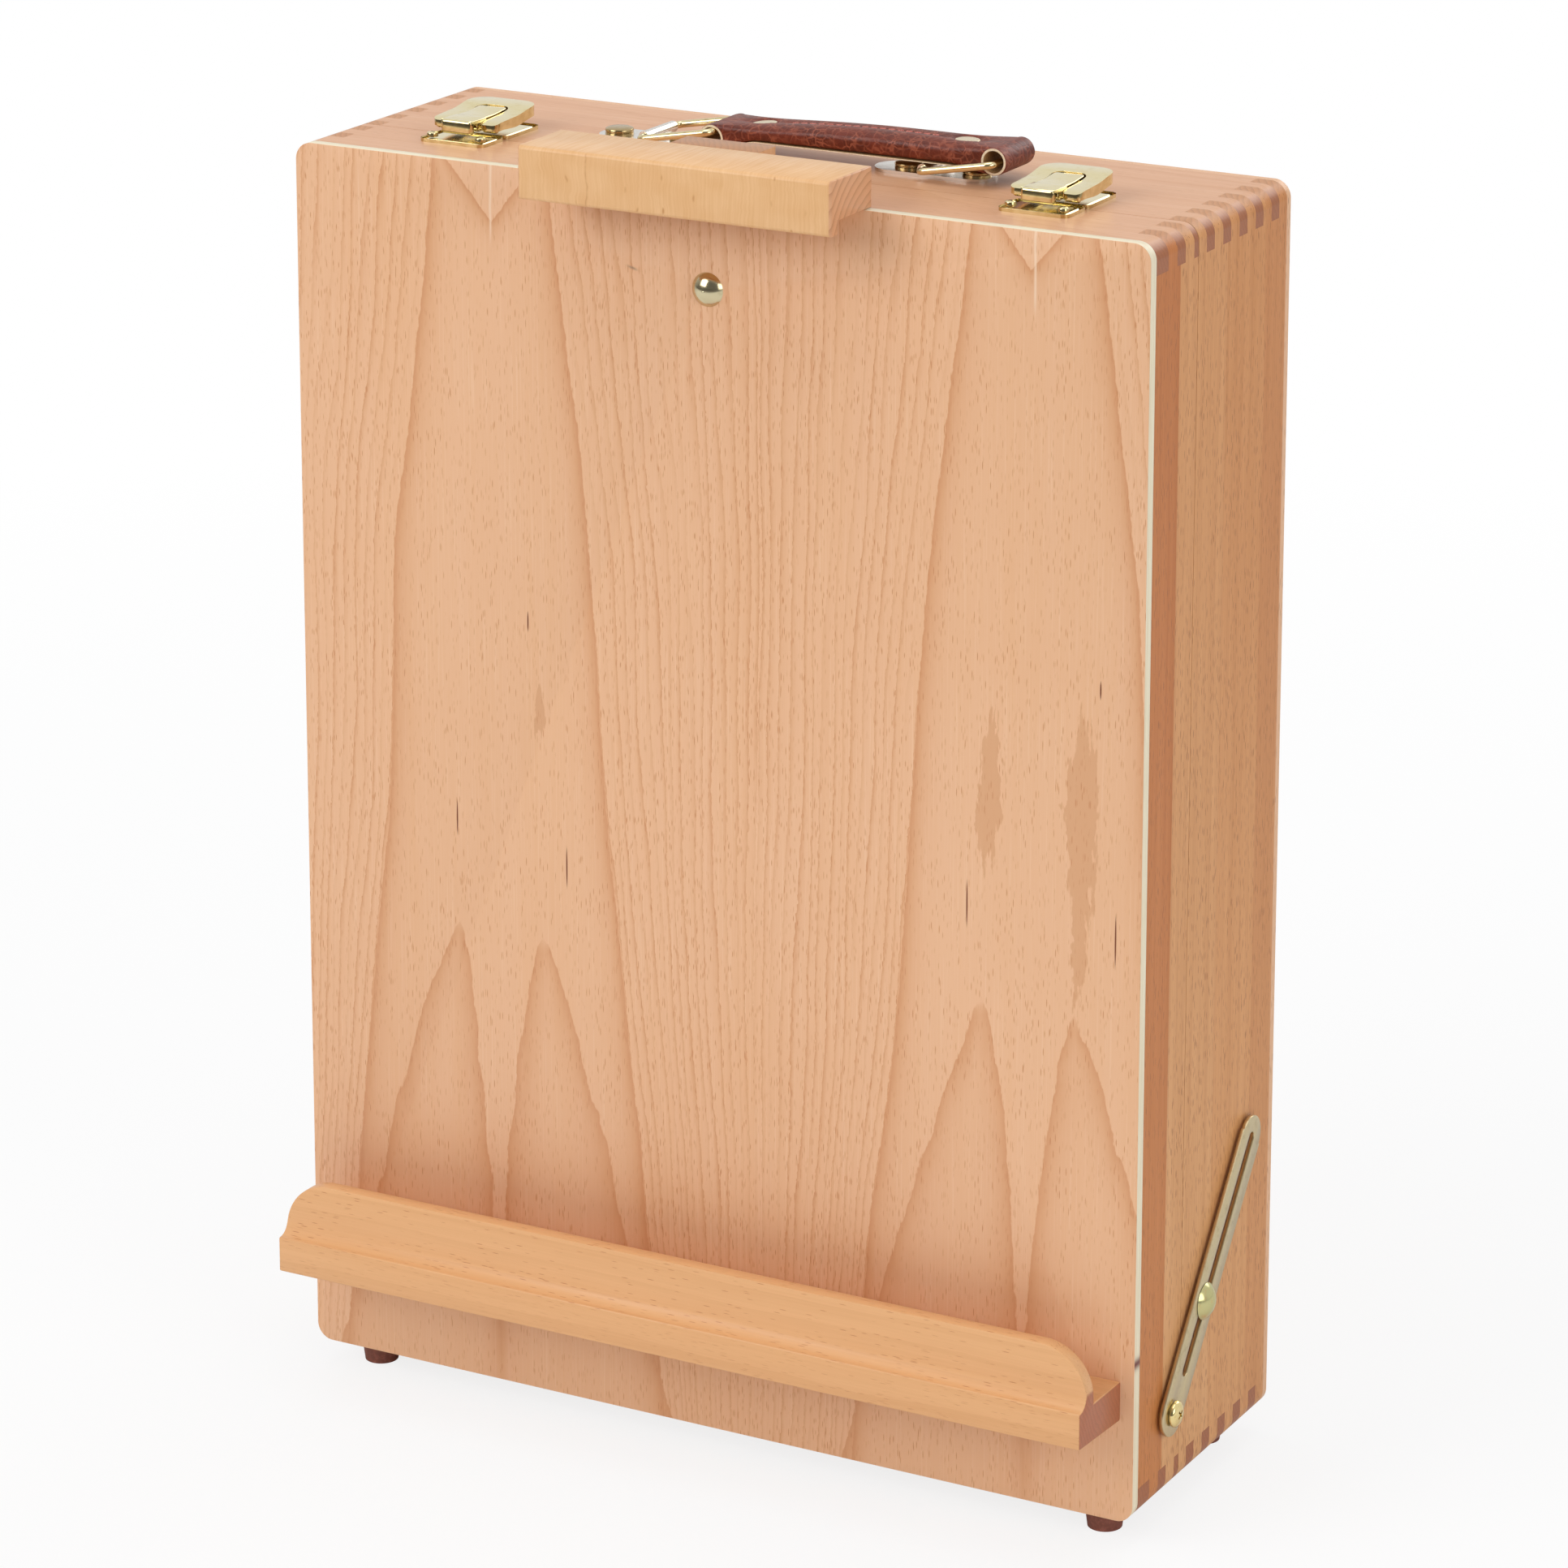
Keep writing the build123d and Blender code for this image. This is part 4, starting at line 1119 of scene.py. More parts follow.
class Form:
    """A mesh shaped by bmesh operators, in millimetres of the object's frame."""

    def __init__(self) -> None:
        """Starts empty."""
        self.mesh = bmesh.new()

    def grid(self, columns: int, rows: int, shape: Callable[[float, float], Vector]) -> None:
        """Adds a grid and bends it.

        Args:
            columns: faces along the first direction.
            rows: faces along the second direction.
            shape: gives the point for two shares from 0 to 1.
        """
        made = bmesh.ops.create_grid(self.mesh, x_segments=columns, y_segments=rows, size=1.0)
        for vert in made["verts"]:
            vert.co = shape((vert.co.x + 1) / 2, (vert.co.y + 1) / 2)
        self.merge(made["verts"])

    def bevel(self, parts: Iterable[bmesh.types.BMEdge | bmesh.types.BMVert], width: float, segments: int,
              affect: str = "EDGES", clamp: bool = False) -> list[bmesh.types.BMFace]:
        """Rounds edges or corners.

        Args:
            parts: the edges or the points to round.
            width: distance from them at which the rounding starts.
            segments: faces across the rounding.
            affect: EDGES or VERTICES.
            clamp: stops where roundings would overlap.

        Returns:
            The new faces.
        """
        made = bmesh.ops.bevel(self.mesh, geom=list(parts), offset=width, offset_type="OFFSET", segments=segments,
                               profile=0.5, affect=affect, clamp_overlap=clamp, material=-1)
        return made["faces"]

    def merge(self, verts: Iterable[bmesh.types.BMVert] | None = None) -> None:
        """Joins points that meet and drops faces without area."""
        bmesh.ops.remove_doubles(self.mesh, verts=list(verts or self.mesh.verts), dist=0.002)
        bmesh.ops.dissolve_degenerate(self.mesh, edges=self.mesh.edges, dist=0.002)

    def plate(self, outline: Sequence[tuple[float, float]], bottom: float, top: float,
              rounds: dict[int, float] | None = None, segments: int = 8) -> list[bmesh.types.BMFace]:
        """Adds a level plate.

        Args:
            outline: its corners in X and Y, counter-clockwise seen from above.
            bottom: its lower face's Z.
            top: its upper face's Z.
            rounds: radius by corner.
            segments: faces in each rounded corner.

        Returns:
            Its upper faces.
        """
        corners = [self.mesh.verts.new((x, y, top)) for x, y in outline]
        self.mesh.faces.new(corners)
        for index, radius in (rounds or {}).items():
            self.bevel([corners[index]], radius, segments, "VERTICES")
        face = [part for part in self.mesh.faces if all(abs(v.co.z - top) < NEAR for v in part.verts)
                and not any(len(edge.link_faces) > 1 for edge in part.edges)][-1]
        made = bmesh.ops.extrude_face_region(self.mesh, geom=[face], use_keep_orig=True)
        lower = [part for part in made["geom"] if isinstance(part, bmesh.types.BMVert)]
        bmesh.ops.translate(self.mesh, verts=lower, vec=(0, 0, bottom - top))
        return [face]

    def stepped(self, faces: list[bmesh.types.BMFace], steps: Sequence[tuple[float, float]]) -> None:
        """Insets faces step by step.

        Args:
            faces: the faces, which stay the innermost ones.
            steps: width and rise of each step.
        """
        self.mesh.normal_update()
        for width, rise in steps:
            bmesh.ops.inset_region(self.mesh, faces=faces, thickness=width, depth=rise, use_even_offset=True)

    def cut_across(self, places: Iterable[float]) -> None:
        """Adds a loop of points at each Y, so that the form can bend there."""
        for place in places:
            geometry = [*self.mesh.verts, *self.mesh.edges, *self.mesh.faces]
            bmesh.ops.bisect_plane(self.mesh, geom=geometry, plane_co=(0, place, 0), plane_no=(0, 1, 0))

    def block(self, low: Sequence[float], high: Sequence[float], ease: float = 0.0, segments: int = 3) -> None:
        """Adds a box with rounded edges.

        Args:
            low: its lowest corner.
            high: its highest corner.
            ease: radius of its edges.
            segments: faces across each rounded edge.
        """
        made = bmesh.ops.create_cube(self.mesh, size=1.0)
        centre = [(a + b) / 2 for a, b in zip(low, high)]
        spread = [b - a for a, b in zip(low, high)]
        bmesh.ops.scale(self.mesh, verts=made["verts"], vec=spread)
        bmesh.ops.translate(self.mesh, verts=made["verts"], vec=centre)
        if ease:
            self.bevel({edge for vert in made["verts"] for edge in vert.link_edges}, ease, segments)

    def bar(self, start: Sequence[float], stop: Sequence[float], radius: float, ease: float = 0.0,
            sides: int = 24) -> None:
        """Adds a round bar between two points.

        Args:
            start: middle of its first end.
            stop: middle of its second end.
            radius: its radius.
            ease: radius of its rims.
            sides: faces round it.
        """
        start, stop = Vector(start), Vector(stop)
        along = stop - start
        verts = set(bmesh.ops.create_cone(self.mesh, cap_ends=True, segments=sides, radius1=radius, radius2=radius,
                                          depth=along.length)["verts"])
        if ease:
            rims = {edge for vert in verts for edge in vert.link_edges
                    if abs(edge.verts[0].co.z - edge.verts[1].co.z) < NEAR}
            rounded = {vert for face in self.bevel(rims, ease, 3) for vert in face.verts}
            verts = rounded | {vert for vert in verts if vert.is_valid}
        turn = along.to_track_quat("Z", "Y").to_matrix().to_4x4()
        bmesh.ops.transform(self.mesh, matrix=Matrix.Translation((start + stop) / 2) @ turn, verts=list(verts))

    def turned(self, profile: Sequence[tuple[float, float]], seat: Sequence[float], axis: Sequence[float],
               steps: int = 40) -> None:
        """Adds a turned shape.

        Args:
            profile: radius and height along the axis, from the axis outwards and back.
            seat: the point of height 0.
            axis: the direction of growing height.
            steps: faces round the axis.
        """
        axis = Vector(axis).normalized()
        turn = axis.to_track_quat("Z", "Y").to_matrix()
        points = [Vector(seat) + turn @ Vector((radius, 0, height)) for radius, height in profile]
        verts = [self.mesh.verts.new(point) for point in points]
        edges = [self.mesh.edges.new(pair) for pair in zip(verts, verts[1:])]
        bmesh.ops.spin(self.mesh, geom=verts + edges, cent=Vector(seat), axis=axis, angle=math.tau, steps=steps,
                       use_merge=True)
        self.merge()
        bmesh.ops.recalc_face_normals(self.mesh, faces=self.mesh.faces)

    def ease_sharp(self, width: float, segments: int = 3, least: float = 35.0,
                   where: Callable[[Vector], bool] = lambda middle: True) -> None:
        """Rounds the sharp edges.

        Args:
            width: distance from the edges at which the rounding starts.
            segments: faces across the rounding.
            least: the sharpness in degrees from which edges count.
            where: tells for an edge's middle if it counts.
        """
        sharp = [edge for edge in self.mesh.edges if len(edge.link_faces) == 2
                 and edge.calc_face_angle(0.0) > math.radians(least)
                 and where((edge.verts[0].co + edge.verts[1].co) / 2)]
        self.bevel(sharp, width, segments, clamp=True)

    def piece(self, name: str, smooth: float = 35.0, outward: bool = True) -> bpy.types.Object:
        """Turns the form into an object at the origin.

        Args:
            name: the object's name.
            smooth: edges flatter than this many degrees shade smooth.
            outward: points the faces outwards first.

        Returns:
            The object.
        """
        if outward:
            bmesh.ops.recalc_face_normals(self.mesh, faces=self.mesh.faces)
        bmesh.ops.scale(self.mesh, verts=self.mesh.verts, vec=(MM, MM, MM))
        data = bpy.data.meshes.new(name)
        self.mesh.to_mesh(data)
        self.mesh.free()
        shade_smooth(data, smooth)
        return add_object(name, data)


def node_box(node: str) -> tuple[Vector, Vector]:
    """The lowest and highest corner of a node, in millimetres."""
    low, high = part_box(node)
    return low / MM, high / MM


def settle(piece: bpy.types.Object, body: str, finish: Finish, slot: str, *nodes: str) -> None:
    """Finishes a new piece: its look, its body and the nodes that it replaces.

    Args:
        piece: the new piece.
        body: the body that it rides on.
        finish: its finish.
        slot: not used.
        nodes: the nodes that it stands for.
    """
    if not piece.material_slots:
        dress(piece, finish)
    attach(piece, body)
    if nodes:
        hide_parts(*nodes)
    log.info("built %s on %s", piece.name, body)


def carve(piece: bpy.types.Object, cutter: bpy.types.Object) -> None:
    """Cuts one closed piece out of another, and drops the cutter.

    Args:
        piece: the piece that is cut.
        cutter: the closed piece that is cut out of it.
    """
    cut = piece.modifiers.new("cut", "BOOLEAN")
    cut.operation = "DIFFERENCE"
    cut.solver = "EXACT"
    cut.object = cutter
    bpy.context.view_layer.update()
    ready = piece.evaluated_get(bpy.context.evaluated_depsgraph_get())
    data = bpy.data.meshes.new_from_object(ready)
    piece.modifiers.clear()
    old = piece.data
    piece.data = data
    data.name = piece.name
    bpy.data.meshes.remove(old)
    shade_smooth(data)
    bpy.data.objects.remove(cutter)


@dataclass
class CrossRecess:
    """The cross-shaped recess in a screw's head, in millimetres."""

    seat: tuple[float, float, float]
    axis: tuple[float, float, float]
    reach: float
    width: float
    depth: float
    turn: float
    taper: float = 0.55

    def cutter(self) -> bpy.types.Object:
        """A cross-shaped wedge that narrows towards the bottom of the recess.

        Returns:
            The closed piece to cut out.
        """
        form = Form()
        r, w = self.reach, self.width / 2
        cross = [(r, -w), (r, w), (w, w), (w, r), (-w, r), (-w, w),
                 (-r, w), (-r, -w), (-w, -w), (-w, -r), (w, -r), (w, -w)]
        form.plate(cross, -self.depth, self.depth)
        for vert in form.mesh.verts:
            if vert.co.z < 0:
                vert.co.x *= self.taper
                vert.co.y *= self.taper
        bmesh.ops.rotate(form.mesh, verts=form.mesh.verts, cent=(0, 0, 0),
                         matrix=Matrix.Rotation(math.radians(self.turn), 3, "Z"))
        way = Vector(self.axis).to_track_quat("Z", "Y").to_matrix().to_4x4()
        bmesh.ops.transform(form.mesh, matrix=Matrix.Translation(Vector(self.seat)) @ way, verts=form.mesh.verts)
        return form.piece("cross_cutter")


@dataclass
class EasedNode:
    """A node with its sharp edges lightly rounded."""

    source: bpy.types.Object
    node: str
    body: str
    finish: Finish
    slot: str
    ease: float
    flat: float = 0.6

    def build(self) -> None:
        """Copies the node, joins triangles that lie flat within that many degrees and rounds its edges."""
        form = Form()
        form.mesh.from_mesh(self.source.data)
        bmesh.ops.scale(form.mesh, verts=form.mesh.verts, vec=(1 / MM, 1 / MM, 1 / MM))
        form.merge()
        bmesh.ops.dissolve_limit(form.mesh, angle_limit=math.radians(self.flat), verts=form.mesh.verts,
                                 edges=form.mesh.edges)
        form.ease_sharp(self.ease, 2)
        settle(form.piece(f"{self.node}_eased", 30.0, False), self.body, self.finish, self.slot, self.node)


EASED_NODES = (
    ("lid_panel", "lid", Finish.VENEER, "beech_veneer", 0.5),
    ("ledge", "lid", Finish.LEDGE, "beech_solid", 0.6),
    ("clamp_bar", "mast", Finish.CLAMP, "beech_solid", 0.4),
    ("mast", "mast", Finish.MAST, "beech_solid", 0.4),
    ("stay_left", "stay_left", Finish.STAY, "stay_brass", 0.35),
    ("stay_right", "stay_right", Finish.STAY, "stay_brass", 0.35),
)


@dataclass
class Latch:
    """A latch: catch plate, base plate, horseshoe lever and hooked tongue, in millimetres."""

    side: Side
    inward: float = 0.8
    plate_half: float = 12.7
    plate_corner: float = 2.4
    plate_thickness: float = 1.25
    catch_reach: float = 15.1
    swing_height: float = 1.8
    swing_cuts: tuple[float, ...] = (9.0, 8.2, 7.4, 6.5)
    plate_gap: float = 0.9
    rim: tuple[tuple[float, float], ...] = (
        (0.08, 0.38), (0.16, 0.36), (0.24, 0.3), (0.3, 0.2), (0.34, 0.06), (0.38, -0.12), (0.35, -0.33),
        (0.25, -0.4),
    )
    screw_radius: float = 1.95
    screw_height: float = 1.25
    screw_seat: float = 1.7
    screw_place: tuple[float, float] = (9.5, 4.1)
    pin_height: float = 4.5
    pin_radius: float = 0.8
    knuckle_radius: float = 1.6
    ear_half: float = 4.6
    lever_half: float = 12.8
    leg_reach: float = 2.2
    lever_reach: float = 27.2
    lever_bottom: float = 3.9
    lever_top: float = 6.7
    lever_ease: float = 1.15
    window_ease: float = 0.5
    window_half: float = 6.1
    window_reach: float = 18.6
    window_round: float = 3.2
    rear_round: float = 6.6
    nose_reach: float = 1.4
    tongue_half: float = 6.0
    tongue_rear_half: float = 5.35
    tongue_reach: float = 17.8
    tongue_top: float = 7.8
    tongue_thickness: float = 1.3
    tail_start: float = 7.0
    tail_rise: float = 0.85
    tongue_cuts: tuple[float, ...] = (1.8, 3.0, 7.0, 9.0, 11.0, 13.0, 15.0)
    shoulder: float = 2.4
    hook_reach: float = 7.7
    hook_depth: float = 2.9
    hook_bottom: float = 2.85
    hook_ease: float = 1.05
    eye_reach: float = 13.8
    eye_rise: float = 1.8
    eye_half: float = 8.8

    def __post_init__(self) -> None:
        """Reads where the latch stands from the model."""
        word = self.side.word
        self.seat = node_box(f"latch_catch_{word}")[0].z
        self.catch_rear = node_box(f"latch_catch_{word}")[1].y
        self.base_rear = node_box(f"latch_base_{word}")[1].y
        low, high = node_box(f"latch_lever_{word}")
        self.middle = (low.x + high.x) / 2 - self.inward * self.side.value
        self.pin_y = low.y + self.knuckle_radius
        self.pin = (self.pin_y, self.seat + self.pin_height)
        self.eye = (self.pin_y + self.eye_reach, self.seat + self.pin_height + self.eye_rise)

    def build(self) -> None:
        """Builds the pieces."""
        self.catch()
        self.screws()
        self.base()
        self.lever()
        self.tongue()

    def give(self, form: Form, name: str, body: str, *nodes: str) -> None:
        """Makes a piece of the latch from its form.

        Args:
            form: the form, which is used up.
            name: the piece's name without the side.
            body: the body that it rides on.
            nodes: the nodes that it stands for, without the side.
        """
        piece = form.piece(f"{name}_{self.side.word}", 40.0)
        settle(piece, body, Finish.LATCH, "bright_brass", *(f"{node}_{self.side.word}" for node in nodes))

    def cross_bar(self, form: Form, start: float, stop: float, seat: tuple[float, float], radius: float,
                  ease: float = 0.0) -> None:
        """Adds a bar along X, between two distances from the latch's middle.

        Args:
            form: where it goes.
            start: distance of its first end.
            stop: distance of its second end.
            seat: its Y and Z.
            radius: its radius.
            ease: radius of its rims.
        """
        form.bar((self.middle + start, *seat), (self.middle + stop, *seat), radius, ease)

    def tray(self, form: Form, front: float, rear: float) -> None:
        """Adds a pressed plate: a rolled rim round a lower middle.

        Args:
            form: where it goes.
            front: Y of its front edge.
            rear: Y of its rear edge.
        """
        m, half = self.middle, self.plate_half
        outline = [(m - half, front), (m + half, front), (m + half, rear), (m - half, rear)]
        corners = {number: self.plate_corner for number in range(4)}
        form.stepped(form.plate(outline, self.seat, self.seat + self.plate_thickness, corners, 6), self.rim)

    def catch(self) -> None:
        """The plate on the lid that the tongue hooks over, lower where the lever's noses swing."""
        form = Form()
        self.tray(form, self.catch_rear - self.catch_reach, self.catch_rear)
        places = [self.catch_rear - step for step in self.swing_cuts]
        form.cut_across(places)
        low = self.seat + self.swing_height
        for vert in form.mesh.verts:
            if vert.co.z > low:
                vert.co.z -= (vert.co.z - low) * eased(vert.co.y, places[0], places[-1])
        self.give(form, "catch_plate", "lid", "latch_catch")

    def screws(self) -> None:
        """Two pan-headed cross screws in the front corners of the catch plate."""
        floor = self.seat + self.screw_seat
        r, tall = self.screw_radius, self.screw_height
        y = self.catch_rear - self.catch_reach + self.screw_place[1]
        for end in (-1, 1):
            x = self.middle + end * self.screw_place[0]
            form = Form()
            form.turned([(0, -0.4), (r, -0.4), (r, tall * 0.5), (r * 0.93, tall * 0.76), (r * 0.75, tall * 0.93),
                         (r * 0.4, tall), (0, tall * 1.02)], (x, y, floor), (0, 0, 1), 32)
            piece = form.piece(f"catch_screw_{self.side.word}_{'left' if end < 0 else 'right'}")
            carve(piece, CrossRecess((x, y, floor + tall), (0, 0, 1), 1.3, 0.5, 0.55, 30.0 * end).cutter())
            settle(piece, "lid", Finish.LATCH, "bright_brass")

    def base(self) -> None:
        """The plate on the case with the ear that carries the lever's pin."""
        form = Form()
        front = self.catch_rear + self.plate_gap
        self.tray(form, front, self.base_rear)
        m, ear = self.middle, self.ear_half
        y, z = self.pin
        form.block((m - ear, y, z - self.knuckle_radius), (m + ear, front + 6.0, z - 0.3), 0.25, 2)
        self.cross_bar(form, -ear, ear, self.pin, self.knuckle_radius, 0.3)
        self.give(form, "base_plate", "box", "latch_base")

    def lever_rise(self, y: float) -> float:
        """How far the lever has risen at a Y: gently at first, and then in a soft step."""
        away = y - self.pin_y
        return 0.045 * max(0.0, away) + eased(away, 11.0, 22.0)

    def lever(self) -> None:
        """The horseshoe lever: a hollow pressing with rolled edges, two round noses and its pins."""
        form = Form()
        m, w, half = self.middle, self.window_half, self.lever_half
        front, end, rear = (self.pin_y + reach for reach in (-self.leg_reach, self.window_reach, self.lever_reach))
        outline = [(m - half, front), (m - w, front), (m - w, end), (m + w, end), (m + w, front),
                   (m + half, front), (m + half, rear), (m - half, rear)]
        rounds = {0: 2.2, 1: 1.6, 4: 1.6, 5: 2.2, 2: self.window_round, 3: self.window_round,
                  6: self.rear_round, 7: self.rear_round}
        bottom, top = self.seat + self.lever_bottom, self.seat + self.lever_top
        form.plate(outline, bottom, top, rounds, 10)
        bmesh.ops.recalc_face_normals(form.mesh, faces=form.mesh.faces)
        under = [face for face in form.mesh.faces if face.normal.z < -0.9]
        form.stepped(under, ((1.1, 0.0), (0.1, -1.5)))
        form.ease_sharp(self.window_ease, 4, 50.0, lambda middle: abs(middle.z - top) < NEAR
                        and abs(middle.x - m) < w + 0.1 and front + 1.6 < middle.y < end + 0.1)
        form.ease_sharp(self.lever_ease, 5, 50.0, lambda middle: abs(middle.z - top) < NEAR
                        and not (abs(middle.x - m) < w + 0.7 and front + 1.6 < middle.y < end + 0.7))
        form.cut_across([front + 1.5 * step for step in range(1, 20)])
        for vert in form.mesh.verts:
            y, high = vert.co.y, (vert.co.z - bottom) / (top - bottom)
            nose = max(0.0, self.pin_y + self.nose_reach - y) / (self.leg_reach + self.nose_reach)
            deep = min(1.0, max(0.0, (y - self.pin_y - 2.0) / 7.0)) * 0.8
            vert.co.z += self.lever_rise(y) - 0.75 * high * nose * nose - deep * (1 - high)
        for way in (-1, 1):
            self.cross_bar(form, way * (w + 0.5), way * (half - 0.9), self.pin, self.knuckle_radius, 0.6)
        self.cross_bar(form, 1.2 - half, half - 1.2, self.pin, self.pin_radius)
        self.cross_bar(form, -self.eye_half, self.eye_half, self.eye, 0.7)
        self.give(form, "lever", f"latch_lever_{self.side.word}", "latch_lever")

    def tongue(self) -> None:
        """The tongue: a flat tail in the lever's window and a deep rounded hook in front."""
        form = Form()
        m, t, r = self.middle, self.tongue_half, self.tongue_rear_half
        front, shoulder, rear = (self.pin_y + reach for reach in (-self.hook_reach, self.shoulder, self.tongue_reach))
        top = self.seat + self.tongue_top
        outline = [(m - t, front + 0.6), (m + t, front + 0.6), (m + t, shoulder), (m + r, shoulder),
                   (m + r, rear), (m - r, rear), (m - r, shoulder), (m - t, shoulder)]
        form.plate(outline, top - self.tongue_thickness, top, {4: 2.2, 5: 2.2, 2: 0.4, 7: 0.4}, 6)
        form.mesh.normal_update()
        form.ease_sharp(0.35, 3, 50.0, lambda middle: abs(middle.z - top) < NEAR)
        form.cut_across([self.pin_y + step for step in self.tongue_cuts])
        for vert in form.mesh.verts:
            rise = self.tail_rise * eased(vert.co.y, self.pin_y + self.tail_start, rear)
            vert.co.z += rise - max(0.0, vert.co.y - front) * 0.02
        form.block((m - t, front, self.seat + self.hook_bottom), (m + t, front + self.hook_depth, top + 0.03),
                   self.hook_ease, 5)
        self.cross_bar(form, -r, r, self.eye, 1.1)
        self.give(form, "tongue", f"latch_tongue_{self.side.word}", "latch_tongue")


@dataclass
class StayPivot:
    """The shouldered cross screw that a stay turns on, in millimetres."""

    side: Side
    wall: float = 160.0
    shank_radius: float = 2.0
    shank_depth: float = 9.0
    spacer_radius: float = 4.6
    spacer_height: float = 1.05
    neck_radius: float = 3.8
    neck_start: float = 2.85
    head_radius: float = 4.5
    head_height: float = 2.2

    def build(self) -> None:
        """Turns the screw and cuts its recess."""
        word = self.side.word
        low, high = node_box(f"stay_pivot_{word}")
        axis = (self.side.value, 0.0, 0.0)
        tip = high.x if self.side is Side.RIGHT else low.x
        seat = (self.side.value * self.wall, (low.y + high.y) / 2, (low.z + high.z) / 2)
        tall = abs(tip) - self.wall
        under = tall - self.head_height
        shank, spacer, neck, r = self.shank_radius, self.spacer_radius, self.neck_radius, self.head_radius
        form = Form()
        form.turned([
            (0, -self.shank_depth), (shank, -self.shank_depth), (shank, 0.0), (spacer, 0.0),
            (spacer, self.spacer_height), (shank, self.spacer_height), (shank, self.neck_start),
            (neck, self.neck_start), (neck, under), (r - 0.15, under), (r, under + 0.2), (r, under + 0.75),
            (r * 0.93, under + 1.3), (r * 0.76, under + 1.8), (r * 0.5, under + 2.1), (0, tall),
        ], seat, axis, 48)
        piece = form.piece(f"stay_pivot_screw_{word}")
        top = tuple(a + b * tall for a, b in zip(seat, axis))
        carve(piece, CrossRecess(top, axis, 2.3, 1.0, 1.3, 40.0).cutter())
        settle(piece, "lid", Finish.PIVOT, "screw_brass", f"stay_pivot_{word}")


def square_point(turn: float, level: float = 0.35) -> tuple[float, float]:
    """A point on the outline of a square that reaches from -1 to 1.

    Args:
        turn: share of the way round, from the lower right corner up.
        level: share of the way that the upper side takes, and the lower one.

    Returns:
        The point.
    """
    upright = 0.5 - level
    if turn <= upright:
        return 1.0, 2 * turn / upright - 1
    if turn <= 0.5:
        return 1 - 2 * (turn - upright) / level, 1.0
    if turn <= 0.5 + upright:
        return -1.0, 1 - 2 * (turn - 0.5) / upright
    return 2 * (turn - 0.5 - upright) / level - 1, -1.0


